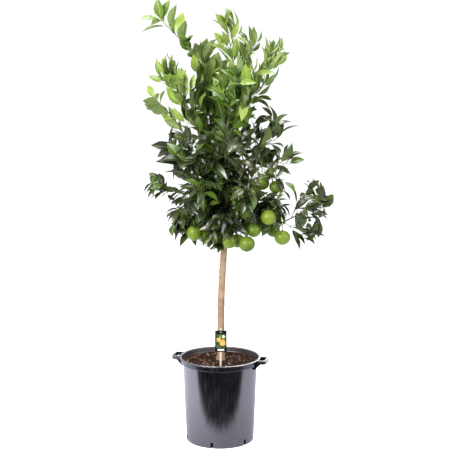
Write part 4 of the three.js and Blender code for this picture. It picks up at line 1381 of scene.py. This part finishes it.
def makeFruit():
    ball = added(bpy.ops.mesh.primitive_uv_sphere_add, segments=orange["columns"], ring_count=orange["rows"],
                 radius=1)
    half = orange["dimple"] / 2
    editing(ball, True)
    for low, high, step in ((0.97, 2, -half), (0.999 - half, 2, -half), (-2, -0.99, orange["navel"])):
        pick(ball, "verts", lambda vertex: low < vertex.co.z < high)
        bpy.ops.transform.translate(value=(0, 0, step))
    bpy.ops.mesh.select_all(action="SELECT")
    bpy.ops.transform.resize(value=(1, 1, orange["squash"]))
    editing(ball, False)
    star = added(bpy.ops.mesh.primitive_cylinder_add, vertices=10, radius=0.17, depth=0.07,
                 location=(0, 0, 0.905))
    settle(star)
    for vertex in star.data.vertices:
        if round(math.atan2(vertex.co.y, vertex.co.x) / (math.pi / 5)) % 2:
            vertex.co.x *= orange["starNotch"]
            vertex.co.y *= orange["starNotch"]
    shells = [cornersAndFaces(ball), cornersAndFaces(star)]
    skins = len(orange["skins"])
    gathered = Gathered()
    for number, (x, y, z, size) in enumerate(fruits):
        spin = turnAbout(up, number * goldenAngle)
        wide = 1 + 0.02 * math.sin(number * 2.3)
        for (corners, faces), kind in zip(shells, (number % skins, skins)):
            gathered.add((corners * [wide, wide, 2 - wide]) @ spin.T * size + [x, y, z], faces, kind)
    bpy.data.objects.remove(ball)
    bpy.data.objects.remove(star)
    piece = gathered.piece("greenOranges")
    smoothed(piece, 50)
    materials = []
    for i, (light, dark) in enumerate(orange["skins"]):
        skin = newMaterial(f"unripePeel{i + 1}", light, 0.36, Specular_IOR_Level=0.35)
        tree = skin.node_tree
        color, _ = addMottle(skin, light, dark, 24, 0.36, 0.66)
        pores = place(tree, "ShaderNodeTexVoronoi", {"Vector": objectPoint(tree), "Scale": orange["pores"]})
        pit = ranged(tree, pores.outputs["Distance"], 0.0, 0.45)
        dents = place(tree, "ShaderNodeBump", {"Height": pit, "Distance": 0.0005, "Strength": 0.4})
        speckled = mixed(tree, ranged(tree, pit, 0, 1, 0.28, 0), color, paint(orange["pore"]))
        feed(skin, Base_Color=speckled, Normal=dents.outputs["Normal"])
        materials.append(skin)
    calyx = newMaterial("calyx", orange["calyx"], 0.7)
    addRelief(calyx, 600, 0.0004, strength=0.5)
    mount(piece, "greenOranges", (), materials + [calyx])


# The plant label

label = {
    "width": 50, "height": 92, "thickness": 1.2, "x": 4.5, "y": -150, "foot": 429, "corner": 2.5,
    "pegRadius": 2.6, "pegDrop": 8,
    "card": "101214", "meadow": "3d5a2c", "shade": "1f3a1c", "peel": "d9741c", "pith": "efc98a",
    "pulp": "e0892a", "white": "e9e4da", "leaf": "6f9a3c", "stake": "c9bbb1",
    "inks": ["meadow", "shade", "leaf", "peel", "pith", "pulp", "white"],
    "margin": 4.5, "shades": [(-12, 62, 9), (9, 30, 12), (14, 66, 7), (-15, 34, 7)],
    "leaves": [(2, 50, 0.5), (-4, 44, 2.6), (-2, 56, 1.7)], "slices": [(7.5, 38, 12.5), (-9, 53, 9.5)],
    "wedges": 9, "blossom": (11, 66), "petals": 5,
}


def cardPoint(u, v, lift=0.0):
    # u and v run across and up the card in millimetres from the middle of its foot
    return np.array([label["x"] + u, label["y"] - label["thickness"] - lift, label["foot"] + v])


def decal(gathered, outline, lift, kind):
    # a thin raised shape on the card's front, drawn anticlockwise as seen from the front
    count = len(outline)
    front = [cardPoint(u, v, lift) for u, v in outline]
    back = [cardPoint(u, v, -0.2) for u, v in outline]
    faces = [list(range(count)), list(range(2 * count - 1, count - 1, -1))]
    for i in range(count):
        j = (i + 1) % count
        faces.append([j, i, count + i, count + j])
    gathered.add(np.array(front + back), faces, kind)


def disc(u, v, radius, steps=28, start=0.0, sweep=2 * math.pi):
    count = steps if sweep == 2 * math.pi else steps + 1
    turns = [start + sweep * i / steps for i in range(count)]
    return [(u + radius * math.cos(turn), v + radius * math.sin(turn)) for turn in turns]


def leafOutline(u, v, length, width, turn, steps=8):
    shape = [(t * length, width / 2 * math.sin(math.pi * t) ** 0.8) for t in np.linspace(0, 1, steps)]
    shape = [(a, -b) for a, b in shape] + shape[-2:0:-1]
    c, s = math.cos(turn), math.sin(turn)
    return [(u + a * c - b * s, v + a * s + b * c) for a, b in shape]


def makePicture():
    # a design of no one's: cut fruit, leaves and a blossom on a meadow, over a blank strip
    inks = []
    for name in label["inks"]:
        ink = newMaterial(f"ink{name.capitalize()}", label[name], 0.35, Coat_Weight=0.3)
        addRelief(ink, 900, 0.0001, strength=0.2, rough=(0.3, 0.42))
        inks.append(ink)
    meadow, shade, leaf, peel, pith, pulp, petal = range(len(inks))
    gathered = Gathered()
    half = label["width"] / 2 - label["margin"]
    decal(gathered, [(-half, 17), (half, 17), (half, 75), (-half, 75)], 0.05, meadow)
    for i, (u, v, size) in enumerate(label["shades"]):
        decal(gathered, disc(u, v, min(size, half - abs(u)), 20), 0.08 + 0.01 * i, shade)
    for u, v, turn in label["leaves"]:
        decal(gathered, leafOutline(u, v, 17, 7, turn), 0.15, leaf)
    for number, (u, v, radius) in enumerate(label["slices"]):
        lift = 0.2 + 0.12 * number
        decal(gathered, disc(u, v, radius), lift, peel)
        decal(gathered, disc(u, v, radius * 0.9), lift + 0.03, pith)
        for i in range(label["wedges"]):
            sweep = 2 * math.pi / label["wedges"]
            wedge = disc(u, v, radius * 0.82, 4, i * sweep + 0.08, sweep - 0.16)
            decal(gathered, [(u, v), *wedge], lift + 0.06, pulp)
    u, v = label["blossom"]
    for i in range(label["petals"]):
        decal(gathered, leafOutline(u, v, 7.5, 4.4, 2 * math.pi * i / label["petals"]), 0.26, petal)
    decal(gathered, disc(u, v, 1.8, 12), 0.3, pith)
    decal(gathered, [(-14, 5), (14, 5), (14, 12), (-14, 12)], 0.1, petal)
    picture = gathered.piece("labelPicture")
    smoothed(picture, 30)
    mount(picture, "labelPicture", (), inks)


def makeLabel():
    half = label["width"] / 2
    card = block(cardPoint(-half, 0), cardPoint(half, label["height"], -label["thickness"]))
    bevelEdges(card, label["corner"], 5, axis=1)
    punch = added(bpy.ops.mesh.primitive_cylinder_add, vertices=24, radius=(label["pegRadius"] + 0.5) * mm,
                  depth=0.02, location=cardPoint(0, label["height"] - label["pegDrop"]) * mm,
                  rotation=(math.pi / 2, 0, 0))
    carve(card, punch)
    applied(card, "BEVEL", width=0.25 * mm, segments=2, limit_method="ANGLE", angle_limit=math.radians(50))
    smoothed(card, 40, weighted=True)
    makePicture()
    board = newMaterial("labelCard", label["card"], 0.32, Coat_Weight=0.3)
    addRelief(board, 500, 0.0002, strength=0.3, rough=(0.27, 0.42))
    mount(card, "labelCard", ["label_card"], [board])
    stake = copyNode("label_stake")
    applied(stake, "BEVEL", width=0.5 * mm, segments=2, limit_method="ANGLE", angle_limit=math.radians(40))
    smoothed(stake, 40, weighted=True)
    plastic = newMaterial("stakePlastic", label["stake"], 0.42)
    addRelief(plastic, 300, 0.0002, stretch=0.2, strength=0.3, rough=(0.36, 0.52))
    mount(stake, "labelStake", ["label_stake"], [plastic])


# The floor, and the sheets that only gloss shows: painted reflections, dark and glowing, on the pot

def makeFloor():
    floor = added(bpy.ops.mesh.primitive_plane_add, size=studio["floorSize"])
    floor.name = "floor"
    pale = newMaterial("paleFloor", studio["floorColor"], 0.7, Specular_IOR_Level=0.2,
                       Emission_Strength=studio["floorLift"])
    addRelief(pale, 40, 0.0004, strength=0.1)
    seen = place(pale.node_tree, "ShaderNodeLightPath").outputs["Is Camera Ray"]
    feed(pale, Emission_Color=mixed(pale.node_tree, seen, black, white))
    floor.data.materials.append(pale)


def makeSheets():
    front, back = studio["darkEdge"], studio["sheetBack"]
    # painted reflection: a glowing sheet on the floor, seen only in gloss, brighter to the left and fading
    # into the dark ahead
    bright = newMaterial("brightSheet", "060606", 0.9, Emission_Strength=studio["sheetStrength"])
    tree = bright.node_tree
    x, y, _ = place(tree, "ShaderNodeSeparateXYZ", {"Vector": objectPoint(tree)}).outputs
    left = ranged(tree, x, -0.22, 0.02, 1, studio["sheetCentre"])
    right = ranged(tree, x, 0.04, 0.22, 0, studio["sheetRight"] - studio["sheetCentre"])
    # the painted reflection's dark edge is soft and streaked; the sheet's own coordinates run from -0.5 to
    # 0.5
    middle, span = (front + back) / 2, back - front
    streak = place(tree, "ShaderNodeTexNoise", {"Vector": scaled(tree, objectPoint(tree), (1, 0, 0)),
                                                "Scale": 70.0, "Detail": 3.0}).outputs[0]
    sway = studio["edgeStreak"] / 2 / span
    edge = ranged(tree, plus(tree, y, ranged(tree, streak, 0.2, 0.8, -sway, sway)),
                  (studio["edgeDark"] - middle) / span, (studio["edgeBright"] - middle) / span)
    share = times(tree, plus(tree, left, right), edge)
    feed(bright, Emission_Color=mixed(tree, share, black, (0.83, 0.82, 1, 1)))
    # painted reflection: a dark sheet for the room ahead, seen only in gloss
    dark = newMaterial("darkSheet", "020202", 0.9, Specular_IOR_Level=0)
    for name, near, far, width, material in (
            ("darkRoomAhead", studio["darkStart"], front, studio["darkWidth"], dark),
            ("brightFloor", front, back, studio["sheetWidth"], bright)):
        sheet = added(bpy.ops.mesh.primitive_plane_add, size=1, location=(0, (near + far) / 2, 0.0015))
        sheet.scale = (width, far - near, 1)
        sheet.name = name
        sheet.data.materials.append(material)
        sheet.visible_camera = False
        sheet.visible_diffuse = False
        sheet.visible_transmission = False
        sheet.visible_shadow = False


makeCamera()
makeLights()
makeFloor()
makeSheets()
print("studio ready")
potPlastic = makePotPlastic("potPlastic", pot["shine"])
bandPlastic = makePotPlastic("bandPlastic", pot["bandShine"])
# a duller copy for the sides of the handles' finger gap: painted shade
gapPlastic = makePotPlastic("gapPlastic", pot["gapShine"])
makePot()
makeHandles()
print("pot and handles done")
makeMix()
makeChips()
makeLabel()
print("potting mix and label done")
makeBark()
print("trunk and boughs done")
for mass in masses:
    growMass(mass)
growShoots()
growVeils()
makeTwigs()
makeLeaves()
makeFruit()
print("crown done:", len(grown["leaves"]), "leaves,", len(fruits), "fruit")
